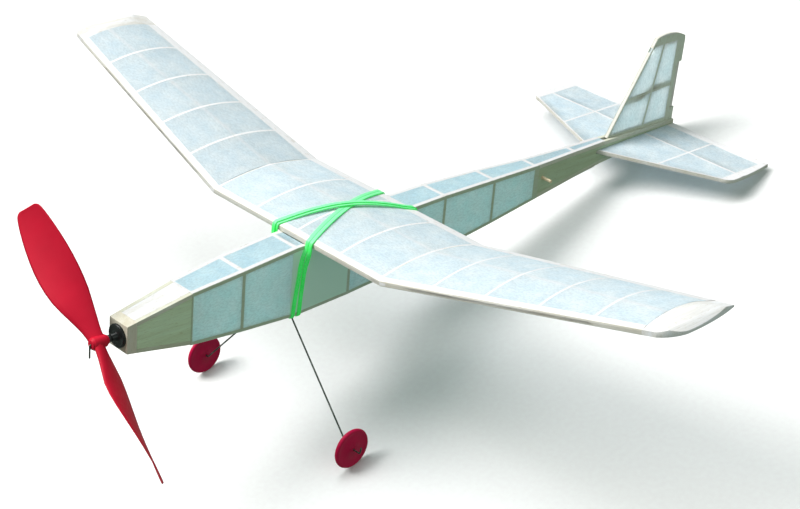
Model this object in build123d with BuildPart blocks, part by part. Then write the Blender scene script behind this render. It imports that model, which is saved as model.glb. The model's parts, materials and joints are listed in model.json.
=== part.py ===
from build123d import *
import os
from collections import namedtuple
from math import asin, atan, atan2, cos, degrees, hypot, pi, radians, sin

# Rubber-powered balsa and tissue model aeroplane, millimetres.
# It is drawn in its building frame and stood on its wheels and tail at the end:
# +X to port, +Y aft from the nose face, +Z up, with z = 0 on top of the tailplane.

# ---------------------------------------------------------------- stock sizes
STRIP = 3.2                # square balsa strip of the fuselage
SHEET = 1.6                # balsa sheet
TISSUE = 0.3               # doped tissue covering
SPAR_WIDTH = 2.4           # strip of the wing spar
TAIL_STRIP = 1.6           # strip of the tail's spars and ribs
WIRE = 1.2                 # diameter of gear and propeller wire
WIRE_PLAY = 0.05           # radial running clearance on a wire
SEAT_GAP = 0.3             # gap left between soft pieces and what they lie on
GLUE = 0.05                # glue line between two strips that meet end to end

# ------------------------------------------------------------------- fuselage
Station = namedtuple("Station", "y half top bottom")
WING_SEAT = 11.8           # top of the longerons under the wing
BLOCK_DEPTH = 8.0          # nose block, front to back
NOSE_SHEET_END = 54.0
FRONT_STATION = 97.0
GEAR_STATION = 146.0
SADDLE_STATION = 198.0
WING_REAR_STATION = 250.0
WAIST_STATION = 296.0
REAR_STATION = 352.0
PEG_STATION = 403.0        # front edge of the rear side sheets
FIN_STATION = 453.0
TAIL_STATION = 487.0
TAIL_END = 582.0
TAIL_DEPTH = 3.2           # tailplane with its covering
NOSE_FACE = Station(0.0, 10.0, -6.5, -27.5)
STATIONS = [
    Station(BLOCK_DEPTH, 10.3, -5.0, -28.8),
    Station(NOSE_SHEET_END, 12.2, 3.4, -36.8),
    Station(FRONT_STATION, 14.4, 8.0, -39.4),
    Station(GEAR_STATION, 14.4, WING_SEAT, -42.8),
    Station(SADDLE_STATION, 14.4, WING_SEAT, -40.8),
    Station(WING_REAR_STATION, 14.0, WING_SEAT, -37.2),
    Station(WAIST_STATION, 13.1, WING_SEAT, -33.2),
    Station(REAR_STATION, 11.3, 9.7, -27.4),
    Station(PEG_STATION, 8.8, 7.2, -21.8),
    Station(FIN_STATION, 6.3, 6.3, -16.4),
    Station(TAIL_STATION, 5.2, 6.0, -12.9),
    Station(TAIL_END, STRIP + 0.2, 3.8, -TAIL_DEPTH - STRIP),
]
UPRIGHT_STATIONS = [FRONT_STATION, SADDLE_STATION, WING_REAR_STATION, WAIST_STATION, REAR_STATION]
REAR_STATIONS = [WAIST_STATION, REAR_STATION, PEG_STATION, FIN_STATION]
GEAR_STRIP = 8.0           # wide upright at the landing gear
GEAR_PLATE_LENGTH = 16.0
GEAR_PLATE_THICKNESS = 2.0

# ------------------------------------------------------------ nose and power
THRUST_Z = -17.0
PLUG_SIDE = 10.8
PLUG_PLAY = 0.1            # clearance round the plug, each side
BUTTON_RADIUS = 8.8
BUTTON_DEPTH = 2.5
BOSS_RADIUS = 3.4
BOSS_DEPTH = 4.0
BEAD_RADIUS = 2.6
BEAD_DEPTH = 2.4
SHAFT_GAP = 0.2            # end play between button, bead and hub
HUB_RADIUS = 4.6
HUB_DEPTH = 13.4
BLADE_ANGLE = 44.0         # blade axis from the vertical
PROP_RADIUS = 104.0
PROP_PITCH = 240.0
PITCH_LIMIT = 62.0         # steepest blade angle, near the hub
BLADE_SEAT = 0.55          # blade axis along the hub, as a share of its depth
CRANK = 9.8                # bent front end of the shaft
HOOK_HALF = 3.3
HOOK_START = 13.0
HOOK_END = 21.5
PEG_RADIUS = 1.5
PEG_PLAY = 0.05
PEG_END_RADIUS = 1.3       # sanded free ends
PEG_END_LENGTH = 9.0
PEG_SHOULDER = 0.5         # full thickness left proud of each side
PEG_Y = 412.3
PEG_Z = -5.0
MOTOR_THICKNESS = 1.2
MOTOR_HALF_WIDTH = 2.2

# --------------------------------------------------------------- landing gear
AXLE_Z = -120.0
ELBOW_X = 79.0
AXLE_END_X = 92.5
AXLE_UPTURN = 5.2
LEG_TOP_X = 11.5
WHEEL_RADIUS = 15.5
WHEEL_RIM = 3.2
WHEEL_ROUND = 1.2          # rounding of the rim
WHEEL_HUB = 4.8
WHEEL_HUB_RADIUS = 2.4
WHEEL_IN_X = ELBOW_X + 2.2

# ----------------------------------------------------------------------- wing
WING_LE = 154.3            # leading edge of the centre panel
CHORD = 103.5
CENTRE_BAY = 45.2
BREAK_X = 2 * CENTRE_BAY
OUTER_BAY = 42.8
TIP_START = 209.0          # inner edge of the tip block, along the outer panel
TIP_LENGTH = 22.0
TIP_REAR_SHARE = 0.68      # length of the block at the trailing edge
TIP_EDGE = 0.9             # thickness left at the outer edge
DIHEDRAL = 12.36
TAPER = 0.14               # sweep of the outer leading edge
RIB = 1.6
RIB_FROM_BREAK = 2.0
LE_WIDTH = 4.8
LE_FACE = 3.6
LE_TOP = 5.0
CREST = 10.2
TIP_CREST = 8.6
CREST_SHARE = 0.43
TE_WIDTH = 9.8
TE_TOP = 3.6
TE_EDGE = 1.2
SPAR_LINE = 53.5
SPAR_BASE = 3.4
BRACE_REACH = 16.0
BRACE_HEIGHT = 4.6

# ----------------------------------------------------------------------- tail
STAB_LE = 480.5            # on the centre line
STAB_SWEEP = 0.44
STAB_TIP_X = 100.0
STAB_HALF_SPAN = 108.5
STAB_LE_WIDTH = 2.0
STAB_TE_WIDTH = 8.0
STAB_SPAR_Y = 543.5
STAB_RIB_X = 51.4
FIN_THICKNESS = 3.2
FIN_LE_FOOT = 497.0
FIN_LE_TOP = (547.0, 83.0)
FIN_TE_TOP = (584.2, 78.6)
FIN_LE_WIDTH = 2.0
FIN_TE_WIDTH = 10.0
FIN_TIP_DEPTH = 6.5
FIN_BASE_DEPTH = 3.0
FIN_SPAR_FOOT = 540.8
FIN_SPAR_TOP = 557.5
FIN_RIB_Z = 36.0
TAB_LOW = 15.0
TAB_HIGH = 56.0
TAB_WIDTH = 5.6
TAB_THICKNESS = 2.4
TAB_REST = 22.0            # bend of the tab to starboard

# ------------------------------------------------------------ wing hold-down
BAND_RADIUS = 1.1
BAND_STEP = 2 * BAND_RADIUS + 0.3
BAND_Y_FRONT = 149.0
BAND_BEND = 1.5

pieces = {}


def keep(name, part):
    """Label a finished piece and hold it for export."""
    part.label = name
    pieces[name] = part


def mirrored(part):
    """The starboard twin of a port piece."""
    return mirror(part, about=Plane.YZ)


def pair(part):
    """A port piece and its starboard twin, as two solids of one node."""
    with BuildPart() as both_sides:
        add(part)
        add(mirrored(part))
    return both_sides.part


# ================================================================== fuselage
def station_loft(low, high):
    """Ruled solid through all stations, its rectangle at each from low to high."""
    with BuildPart() as solid:
        for station in STATIONS:
            x0, z0 = low(station)
            x1, z1 = high(station)
            with BuildSketch(Plane.XZ.offset(-station.y)):
                with Locations(((x0 + x1) / 2, (z0 + z1) / 2)):
                    Rectangle(x1 - x0, z1 - z0)
        loft(ruled=True)
    return solid.part


def between(start, end):
    """Slab that fills the fuselage between two lengths from the nose."""
    with BuildPart() as slab:
        with Locations((0, (start + end) / 2, 0)):
            Box(400, end - start, 400)
    return slab.part


def slabs(lengths, width):
    """One slab of the given width at each length from the nose."""
    with BuildPart() as cuts:
        with Locations(*[(0, y, 0) for y in lengths]):
            Box(400, width, 400)
    return cuts.part


def line_at(y, field):
    """Straight-line value of one station field at a length from the nose."""
    for fore, aft in zip(STATIONS, STATIONS[1:]):
        if fore.y <= y <= aft.y:
            share = (y - fore.y) / (aft.y - fore.y)
            return getattr(fore, field) + share * (getattr(aft, field) - getattr(fore, field))
    raise ValueError(f"no station round {y}")


top_longeron = station_loft(
    lambda s: (s.half - STRIP, s.top - STRIP),
    lambda s: (s.half, s.top))
bottom_longeron = station_loft(
    lambda s: (s.half - STRIP, s.bottom),
    lambda s: (s.half, s.bottom + STRIP))
side_strip = station_loft(
    lambda s: (s.half - STRIP, s.bottom + STRIP),
    lambda s: (s.half, s.top - STRIP))
side_sheet = station_loft(
    lambda s: (s.half - SHEET, s.bottom + STRIP),
    lambda s: (s.half, s.top - STRIP))
top_strip = station_loft(
    lambda s: (STRIP - s.half, s.top - STRIP),
    lambda s: (s.half - STRIP, s.top))
top_sheet = station_loft(
    lambda s: (STRIP - s.half, s.top - SHEET),
    lambda s: (s.half - STRIP, s.top))
bottom_strip = station_loft(
    lambda s: (STRIP - s.half, s.bottom),
    lambda s: (s.half - STRIP, s.bottom + STRIP))
bottom_plate = station_loft(
    lambda s: (STRIP - s.half, s.bottom),
    lambda s: (s.half - STRIP, s.bottom + GEAR_PLATE_THICKNESS))

keep("top_longerons", pair(top_longeron))
keep("bottom_longerons", pair(bottom_longeron))

with BuildPart() as uprights:
    add(slabs(UPRIGHT_STATIONS, STRIP))
    add(between(GEAR_STATION - GEAR_STRIP / 2, GEAR_STATION + GEAR_STRIP / 2))
    add(side_strip, mode=Mode.INTERSECT)
keep("uprights_port", uprights.part)
keep("uprights_starboard", mirrored(uprights.part))

with BuildPart() as saddle_panel:
    add(between(GEAR_STATION + GEAR_STRIP / 2, SADDLE_STATION - STRIP / 2))
    add(side_sheet, mode=Mode.INTERSECT)
keep("saddle_panels", pair(saddle_panel.part))

with BuildPart() as nose_cheek:
    add(between(BLOCK_DEPTH, NOSE_SHEET_END))
    add(side_sheet, mode=Mode.INTERSECT)
keep("nose_cheeks", pair(nose_cheek.part))

with BuildPart() as nose_top_sheet:
    add(between(BLOCK_DEPTH, NOSE_SHEET_END))
    add(top_sheet, mode=Mode.INTERSECT)
keep("nose_top_sheet", nose_top_sheet.part)

with BuildPart() as nose_bottom_sheet:
    add(between(BLOCK_DEPTH, NOSE_SHEET_END))
    add(bottom_plate, mode=Mode.INTERSECT)
keep("nose_bottom_sheet", nose_bottom_sheet.part)

with BuildPart() as top_crosspieces:
    add(slabs([FRONT_STATION, GEAR_STATION] + REAR_STATIONS, STRIP))
    add(top_strip, mode=Mode.INTERSECT)
keep("top_crosspieces", top_crosspieces.part)

with BuildPart() as bottom_crosspieces:
    add(slabs([FRONT_STATION, SADDLE_STATION, WING_REAR_STATION] + REAR_STATIONS, STRIP))
    add(bottom_strip, mode=Mode.INTERSECT)
keep("bottom_crosspieces", bottom_crosspieces.part)

with BuildPart() as gear_plate:
    add(between(GEAR_STATION - GEAR_PLATE_LENGTH / 2, GEAR_STATION + GEAR_PLATE_LENGTH / 2))
    add(bottom_plate, mode=Mode.INTERSECT)
keep("gear_plate", gear_plate.part)

# Rear side sheets: slotted for the tailplane and drilled for the motor peg.
peg_shoulder = line_at(PEG_Y, "half") + PEG_SHOULDER
with BuildPart() as tail_slot:
    with Locations((0, (STAB_LE + TAIL_END) / 2, -TAIL_DEPTH / 2)):
        Box(60, TAIL_END - STAB_LE + 0.01, TAIL_DEPTH)
with BuildPart() as tail_sheet:
    add(between(PEG_STATION - STRIP / 2, TAIL_END))
    add(side_sheet, mode=Mode.INTERSECT)
    add(tail_slot.part, mode=Mode.SUBTRACT)
    with BuildSketch(Plane.YZ):
        with Locations((PEG_Y, PEG_Z)):
            Circle(PEG_RADIUS + PEG_PLAY)
    extrude(amount=peg_shoulder, mode=Mode.SUBTRACT)
keep("tail_sheets", pair(tail_sheet.part))

with BuildPart() as motor_peg:
    with BuildSketch(Plane.YZ):
        with Locations((PEG_Y, PEG_Z)):
            Circle(PEG_RADIUS)
    extrude(amount=peg_shoulder, both=True)
    with BuildSketch(Plane.YZ):
        with Locations((PEG_Y, PEG_Z)):
            Circle(PEG_END_RADIUS)
    extrude(amount=peg_shoulder + PEG_END_LENGTH, both=True)
keep("motor_peg", motor_peg.part)

# Nose block: tapered, with the square hole of the plug.
with BuildPart() as nose_block:
    for station in (NOSE_FACE, STATIONS[0]):
        with BuildSketch(Plane.XZ.offset(-station.y)):
            with Locations((0, (station.top + station.bottom) / 2)):
                Rectangle(2 * station.half, station.top - station.bottom)
    loft(ruled=True)
    with BuildSketch(Plane.XZ):
        with Locations((0, THRUST_Z)):
            Rectangle(PLUG_SIDE + 2 * PLUG_PLAY, PLUG_SIDE + 2 * PLUG_PLAY)
    extrude(amount=-BLOCK_DEPTH, mode=Mode.SUBTRACT)
keep("nose_block", nose_block.part)

# Fuselage covering.
COVER_START = NOSE_SHEET_END - 4.0
side_cover = station_loft(
    lambda s: (s.half, s.bottom),
    lambda s: (s.half + TISSUE, s.top))
top_cover = station_loft(
    lambda s: (-s.half, s.top),
    lambda s: (s.half, s.top + TISSUE))
bottom_cover = station_loft(
    lambda s: (-s.half, s.bottom - TISSUE),
    lambda s: (s.half, s.bottom))

with BuildPart() as tissue_side:
    add(between(COVER_START, PEG_STATION + 4.0))
    add(side_cover, mode=Mode.INTERSECT)
keep("tissue_sides", pair(tissue_side.part))

with BuildPart() as tissue_top:
    add(between(COVER_START, WING_LE - 0.8))
    add(between(WING_LE + CHORD + 0.8, FIN_LE_FOOT - 6.0))
    add(top_cover, mode=Mode.INTERSECT)
keep("tissue_top", tissue_top.part)

with BuildPart() as tissue_bottom:
    add(between(COVER_START, STAB_LE))
    add(bottom_cover, mode=Mode.INTERSECT)
keep("tissue_bottom", tissue_bottom.part)

# ============================================================ nose and power
NOSE_PLANE = Plane(origin=(0, 0, THRUST_Z), x_dir=(1, 0, 0), z_dir=(0, -1, 0))
BEAD_START = BUTTON_DEPTH + BOSS_DEPTH + SHAFT_GAP
HUB_START = BEAD_START + BEAD_DEPTH + SHAFT_GAP
HUB_FRONT = HUB_START + HUB_DEPTH
BORE_RADIUS = WIRE / 2 + WIRE_PLAY
PRESS_RADIUS = WIRE / 2 + 0.01

with BuildPart() as nose_button:
    with BuildSketch(NOSE_PLANE):
        Circle(BUTTON_RADIUS)
    extrude(amount=BUTTON_DEPTH)
    fillet(nose_button.edges().sort_by(Axis.Y)[0], radius=1.2)
    with BuildSketch(NOSE_PLANE.offset(BUTTON_DEPTH)):
        Circle(BOSS_RADIUS)
    extrude(amount=BOSS_DEPTH)
    with BuildSketch(NOSE_PLANE):
        Rectangle(PLUG_SIDE, PLUG_SIDE)
    extrude(amount=-BLOCK_DEPTH)
    with BuildSketch(NOSE_PLANE.offset(-BLOCK_DEPTH)):
        Circle(BORE_RADIUS)
    extrude(amount=BLOCK_DEPTH + BUTTON_DEPTH + BOSS_DEPTH, mode=Mode.SUBTRACT)
keep("nose_button", nose_button.part)

with BuildPart() as thrust_bead:
    with BuildSketch(NOSE_PLANE.offset(BEAD_START)):
        Circle(BEAD_RADIUS)
        Circle(PRESS_RADIUS, mode=Mode.SUBTRACT)
    extrude(amount=BEAD_DEPTH)
keep("thrust_bead", thrust_bead.part)

# Shaft: one wire, cranked down in front of the hub and bent to a hook behind the plug.
SHAFT_FRONT = HUB_FRONT + SHAFT_GAP + WIRE / 2
shaft_points = [
    (0, -SHAFT_FRONT, THRUST_Z - CRANK),
    (0, -SHAFT_FRONT, THRUST_Z),
    (0, HOOK_START, THRUST_Z),
    (HOOK_HALF, HOOK_START + 2.6, THRUST_Z),
    (HOOK_HALF, HOOK_END, THRUST_Z),
    (-HOOK_HALF, HOOK_END, THRUST_Z),
    (-HOOK_HALF, HOOK_START + 3.4, THRUST_Z),
]
with BuildPart() as prop_shaft:
    with BuildLine() as shaft_path:
        FilletPolyline(*shaft_points, radius=1.0)
    with BuildSketch(Plane(origin=shaft_path.line @ 0, z_dir=shaft_path.line % 0)):
        Circle(WIRE / 2)
    sweep()
keep("prop_shaft", prop_shaft.part)

# Propeller: hub and two blades, each lofted through twisted thin sections.
blade_axis = Vector(-sin(radians(BLADE_ANGLE)), 0, cos(radians(BLADE_ANGLE)))
blade_side = Vector(cos(radians(BLADE_ANGLE)), 0, sin(radians(BLADE_ANGLE)))
HUB_MIDDLE = Vector(0, -HUB_START - HUB_DEPTH * BLADE_SEAT, THRUST_Z)
BLADE_FLAT = 0.6           # share of the chord at full thickness
BLADE_SECTIONS = [          # share of the radius, chord, thickness, shift towards the leading edge
    (0.030, 8.0, 4.6, 0.0),
    (0.120, 12.5, 3.4, 1.0),
    (0.300, 24.0, 2.2, 3.4),
    (0.500, 29.5, 1.8, 5.2),
    (0.700, 29.5, 1.5, 6.3),
    (0.860, 25.0, 1.2, 7.0),
    (0.960, 17.0, 1.0, 7.4),
    (1.000, 7.0, 0.8, 7.4),
]


def blade_plane(radius):
    """Section plane across the blade, turned to the pitch angle at that radius."""
    pitch = min(atan(PROP_PITCH / (2 * pi * radius)), radians(PITCH_LIMIT))
    chord_line = blade_side * cos(pitch) + Vector(0, 1, 0) * sin(pitch)
    return Plane(origin=HUB_MIDDLE + blade_axis * radius, x_dir=chord_line, z_dir=blade_axis)


with BuildPart() as blade:
    for share, chord, thickness, shift in BLADE_SECTIONS:
        edge = chord / 2
        flat = edge * BLADE_FLAT
        half = thickness / 2
        with BuildSketch(blade_plane(share * PROP_RADIUS)):
            with Locations((-shift, 0)):
                Polygon(
                    (-edge, 0), (-flat, half), (flat, half),
                    (edge, 0), (flat, -half), (-flat, -half), align=None)
    loft()
with BuildPart() as propeller:
    with BuildSketch(NOSE_PLANE.offset(HUB_START)):
        Circle(HUB_RADIUS)
    extrude(amount=HUB_DEPTH)
    add(blade.part)
    add(blade.part.rotate(Axis((0, 0, THRUST_Z), (0, 1, 0)), 180))
    with BuildSketch(NOSE_PLANE.offset(HUB_START)):
        Circle(PRESS_RADIUS)
    extrude(amount=HUB_DEPTH, mode=Mode.SUBTRACT)
keep("propeller", propeller.part)

# Rubber motor: one flat loop from the shaft's hook to the peg.
HOOK_EYE = (HOOK_END, THRUST_Z)
PEG_CENTRE = (PEG_Y, PEG_Z)
front_bend = WIRE / 2 + SEAT_GAP
rear_bend = PEG_RADIUS + SEAT_GAP


def motor_outline(extra):
    """Slack-free loop round the hook wire and the peg."""
    with BuildSketch() as outline:
        with Locations(HOOK_EYE):
            Circle(front_bend + extra)
        with Locations(PEG_CENTRE):
            Circle(rear_bend + extra)
        make_hull()
    return outline.sketch


with BuildPart() as rubber_motor:
    with BuildSketch(Plane.YZ):
        add(motor_outline(MOTOR_THICKNESS))
        add(motor_outline(0), mode=Mode.SUBTRACT)
    extrude(amount=MOTOR_HALF_WIDTH, both=True)
keep("rubber_motor", rubber_motor.part)

# ============================================================== landing gear
gear_top_z = line_at(GEAR_STATION, "bottom") - TISSUE - WIRE / 2 - WIRE_PLAY
half_gear = [
    (LEG_TOP_X, GEAR_STATION, gear_top_z),
    (ELBOW_X, GEAR_STATION, AXLE_Z),
    (AXLE_END_X, GEAR_STATION, AXLE_Z),
    (AXLE_END_X + 1.0, GEAR_STATION, AXLE_Z + AXLE_UPTURN),
]
gear_points = [(-x, y, z) for x, y, z in reversed(half_gear)] + half_gear
with BuildPart() as landing_gear:
    with BuildLine() as gear_path:
        FilletPolyline(*gear_points, radius=1.2)
    with BuildSketch(Plane(origin=gear_path.line @ 0, z_dir=gear_path.line % 0)):
        Circle(WIRE / 2)
    sweep()
keep("landing_gear", landing_gear.part)

WHEEL_MID_X = WHEEL_IN_X + WHEEL_HUB / 2
with BuildPart() as wheel:
    with BuildSketch(Plane.YZ.offset(WHEEL_MID_X)):
        with Locations((GEAR_STATION, AXLE_Z)):
            Circle(WHEEL_RADIUS)
    extrude(amount=WHEEL_RIM / 2, both=True)
    fillet(wheel.edges().filter_by(GeomType.CIRCLE), radius=WHEEL_ROUND)
    with BuildSketch(Plane.YZ.offset(WHEEL_MID_X)):
        with Locations((GEAR_STATION, AXLE_Z)):
            Circle(WHEEL_HUB_RADIUS)
    extrude(amount=WHEEL_HUB / 2, both=True)
    with BuildSketch(Plane.YZ.offset(WHEEL_MID_X)):
        with Locations((GEAR_STATION, AXLE_Z)):
            Circle(BORE_RADIUS)
    extrude(amount=WHEEL_HUB / 2, both=True, mode=Mode.SUBTRACT)
keep("wheel_port", wheel.part)
keep("wheel_starboard", mirrored(wheel.part))

# ====================================================================== wing
# Each panel has a plan plane: local x runs out along the span, local y aft from
# the centre panel's leading edge, local z up from the flat underside.
WING_Z = WING_SEAT + TISSUE
slope = radians(DIHEDRAL)
centre_plan = Plane(origin=(0, WING_LE, WING_Z), x_dir=(1, 0, 0), z_dir=(0, 0, 1))
outer_plan = Plane(
    origin=(BREAK_X, WING_LE, WING_Z),
    x_dir=(cos(slope), 0, sin(slope)),
    z_dir=(-sin(slope), 0, cos(slope)))
mitre = Plane(
    origin=(BREAK_X, WING_LE, WING_Z),
    z_dir=(cos(slope / 2), 0, sin(slope / 2)))


def lead(out, taper):
    """Leading edge, aft of the centre panel's, at a distance out along a panel."""
    return taper * out


def section_plane(plan, out):
    """Plane across a panel: local x aft, local y up."""
    return Plane(origin=plan.from_local_coords((out, 0, 0)), x_dir=plan.y_dir, z_dir=plan.x_dir)


def wing_body(plan, ends, taper, skin):
    """Panel body lofted between two sections, thickened by a skin above and below."""
    with BuildPart() as body:
        for out, crest in ends:
            nose = lead(out, taper)
            with BuildSketch(section_plane(plan, out)):
                with BuildLine():
                    Polyline(
                        (CHORD - TE_WIDTH, TE_TOP + skin),
                        (CHORD, TE_EDGE + skin),
                        (CHORD, -skin),
                        (nose, -skin),
                        (nose, LE_FACE + skin),
                        (nose + LE_WIDTH, LE_TOP + skin))
                    ThreePointArc(
                        (nose + LE_WIDTH, LE_TOP + skin),
                        (nose + CREST_SHARE * (CHORD - nose), crest + skin),
                        (CHORD - TE_WIDTH, TE_TOP + skin))
                make_face()
        loft(ruled=True)
    return body.part


def prism(plan, corners, low=-30.0, high=30.0):
    """Upright block over a plan outline."""
    with BuildPart() as block:
        with BuildSketch(plan.offset(low)):
            with BuildLine():
                Polyline(*corners, close=True)
            make_face()
        extrude(amount=high - low)
    return block.part


def strip_corners(start, end, aft_from, aft_to, taper):
    """Plan outline of a strip along a panel, both edges parallel to its leading edge."""
    return [
        (start, lead(start, taper) + aft_from),
        (end, lead(end, taper) + aft_from),
        (end, lead(end, taper) + aft_to),
        (start, lead(start, taper) + aft_to),
    ]


def rib_corners(out):
    """Plan outline of a rib."""
    return [
        (out - RIB / 2, -5),
        (out + RIB / 2, -5),
        (out + RIB / 2, CHORD + 5),
        (out - RIB / 2, CHORD + 5),
    ]


def wing_panel(suffix, core, plan, start, end, taper, ribs, notches):
    """Leading edge, trailing edge, spar and ribs of one panel, cut from its body."""
    le_zone = prism(plan, strip_corners(start, end, -1, LE_WIDTH, taper))
    te_zone = prism(plan, strip_corners(start, end, CHORD - TE_WIDTH, CHORD + 1, 0))
    spar_aft = SPAR_LINE + SPAR_WIDTH / 2
    spar_zone = prism(plan, strip_corners(start, end, spar_aft - SPAR_WIDTH, spar_aft, 0), low=SPAR_BASE)
    with BuildPart() as leading_edge:
        add(core)
        add(le_zone, mode=Mode.INTERSECT)
    with BuildPart() as trailing_edge:
        add(core)
        add(te_zone, mode=Mode.INTERSECT)
    with BuildPart() as spar:
        add(core)
        add(spar_zone, mode=Mode.INTERSECT)
    with BuildPart() as rib_set:
        for out in ribs:
            add(prism(plan, rib_corners(out)))
        add(core, mode=Mode.INTERSECT)
        for zone in [le_zone, te_zone, spar_zone] + notches:
            add(zone, mode=Mode.SUBTRACT)
    return {
        f"wing_leading_edge_{suffix}": leading_edge.part,
        f"wing_trailing_edge_{suffix}": trailing_edge.part,
        f"wing_spar_{suffix}": spar.part,
        f"wing_ribs_{suffix}": rib_set.part,
    }


def trimmed(body, *cuts):
    """Cut a panel body at its mitres: each cut is a plane and the side to keep."""
    with BuildPart() as result:
        add(body)
        for plane, side in cuts:
            split(bisect_by=plane, keep=side)
    return result.part


OVERRUN = 4.0              # bodies run past the break and are mitred there
mitre_starboard = Plane(
    origin=(-BREAK_X, WING_LE, WING_Z),
    z_dir=(-cos(slope / 2), 0, sin(slope / 2)))
centre_ends = [(-BREAK_X - OVERRUN, CREST), (BREAK_X + OVERRUN, CREST)]
crest_rate = (TIP_CREST - CREST) / TIP_START
outer_ends = [(-OVERRUN, CREST - crest_rate * OVERRUN), (TIP_START, TIP_CREST)]
tip_end = TIP_START + TIP_LENGTH + 1.0
tip_ends = [(TIP_START, TIP_CREST), (tip_end, TIP_CREST)]
centre_cuts = ((mitre, Keep.BOTTOM), (mitre_starboard, Keep.BOTTOM))

centre_core = trimmed(wing_body(centre_plan, centre_ends, 0, 0), *centre_cuts)
centre_outer = trimmed(wing_body(centre_plan, centre_ends, 0, TISSUE), *centre_cuts)
port_core = trimmed(wing_body(outer_plan, outer_ends, TAPER, 0), (mitre, Keep.TOP))
port_outer = trimmed(wing_body(outer_plan, outer_ends, TAPER, TISSUE), (mitre, Keep.TOP))

# Plywood braces behind the spar carry it across each break.
brace_fore = SPAR_LINE + SPAR_WIDTH / 2
inner_brace = prism(
    centre_plan,
    [(BREAK_X - BRACE_REACH, brace_fore), (BREAK_X + OVERRUN, brace_fore),
     (BREAK_X + OVERRUN, brace_fore + SHEET), (BREAK_X - BRACE_REACH, brace_fore + SHEET)],
    SPAR_BASE, SPAR_BASE + BRACE_HEIGHT)
outer_brace = prism(
    outer_plan,
    [(-OVERRUN, brace_fore), (BRACE_REACH, brace_fore),
     (BRACE_REACH, brace_fore + SHEET), (-OVERRUN, brace_fore + SHEET)],
    SPAR_BASE, SPAR_BASE + BRACE_HEIGHT)
with BuildPart() as brace:
    add(trimmed(inner_brace, (mitre, Keep.BOTTOM)))
    add(trimmed(outer_brace, (mitre, Keep.TOP)))
brace_notches = [brace.part, mirrored(brace.part)]
keep("dihedral_braces", pair(brace.part))

break_rib = BREAK_X - RIB_FROM_BREAK
centre_panel = wing_panel(
    "centre", centre_core, centre_plan, -BREAK_X - OVERRUN, BREAK_X + OVERRUN, 0,
    [-break_rib, -CENTRE_BAY, 0, CENTRE_BAY, break_rib], brace_notches)
for name, part in centre_panel.items():
    keep(name, part)
port_panel = wing_panel(
    "port", port_core, outer_plan, -OVERRUN, TIP_START, TAPER,
    [OUTER_BAY * bay for bay in (1, 2, 3, 4)], [])
for name, part in port_panel.items():
    keep(name, part)
    keep(name.replace("_port", "_starboard"), mirrored(part))

# Tip blocks, shaped in plan and sanded down to a thin outer edge.
with BuildPart() as wing_tip:
    with BuildSketch(outer_plan.offset(-10)):
        with BuildLine():
            tip_lead = lead(TIP_START, TAPER)
            edge_end = (TIP_START + TIP_LENGTH * TIP_REAR_SHARE, CHORD)
            lead_end = (TIP_START + TIP_LENGTH * 0.45, lead(TIP_START + TIP_LENGTH * 0.45, TAPER))
            side_start = (TIP_START + TIP_LENGTH, tip_lead + 22)
            Polyline(edge_end, (TIP_START, CHORD), (TIP_START, tip_lead), lead_end)
            ThreePointArc(lead_end, (TIP_START + TIP_LENGTH * 0.84, tip_lead + 9.0), side_start)
            ThreePointArc(side_start, (TIP_START + TIP_LENGTH * 0.90, tip_lead + 52), edge_end)
        make_face()
    extrude(amount=40)
    add(wing_body(outer_plan, tip_ends, TAPER, 0), mode=Mode.INTERSECT)
    with BuildSketch(Plane(outer_plan.origin, x_dir=outer_plan.x_dir, z_dir=-outer_plan.y_dir)):
        with BuildLine():
            crown = ThreePointArc(
                (TIP_START + 1, TIP_CREST + 1), (TIP_START + TIP_LENGTH * 0.6, TIP_CREST * 0.72),
                (tip_end + 1, TIP_EDGE))
            Polyline(crown @ 1, (tip_end + 1, 2 * TIP_CREST), (TIP_START + 1, 2 * TIP_CREST), crown @ 0)
        make_face()
    extrude(amount=CHORD + 50, both=True, mode=Mode.SUBTRACT)
keep("wing_tip_port", wing_tip.part)
keep("wing_tip_starboard", mirrored(wing_tip.part))

with BuildPart() as wing_tissue_centre:
    add(centre_outer)
    add(centre_core, mode=Mode.SUBTRACT)
keep("wing_tissue_centre", wing_tissue_centre.part)

with BuildPart() as wing_tissue_port:
    add(port_outer)
    add(port_core, mode=Mode.SUBTRACT)
keep("wing_tissue_port", wing_tissue_port.part)
keep("wing_tissue_starboard", mirrored(wing_tissue_port.part))

# ================================================================= tailplane
stab_top = Plane.XY
stab_tip_lead = STAB_LE + STAB_SWEEP * STAB_TIP_X


def stab_plate(low, high):
    """The tailplane's whole outline between two heights."""
    with BuildPart() as plate:
        with BuildSketch(Plane.XY.offset(low)):
            with BuildLine():
                Polyline((0, TAIL_END), (0, STAB_LE), (STAB_TIP_X, stab_tip_lead))
                ThreePointArc(
                    (STAB_TIP_X, stab_tip_lead),
                    (STAB_HALF_SPAN - 2.3, stab_tip_lead + 3.6),
                    (STAB_HALF_SPAN, stab_tip_lead + 9))
                ThreePointArc(
                    (STAB_HALF_SPAN, stab_tip_lead + 9),
                    (STAB_HALF_SPAN - 0.8, stab_tip_lead + 32),
                    (STAB_HALF_SPAN - 4, TAIL_END))
                Line((STAB_HALF_SPAN - 4, TAIL_END), (0, TAIL_END))
            make_face()
            mirror(about=Plane.YZ)
        extrude(amount=high - low)
    return plate.part


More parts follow.
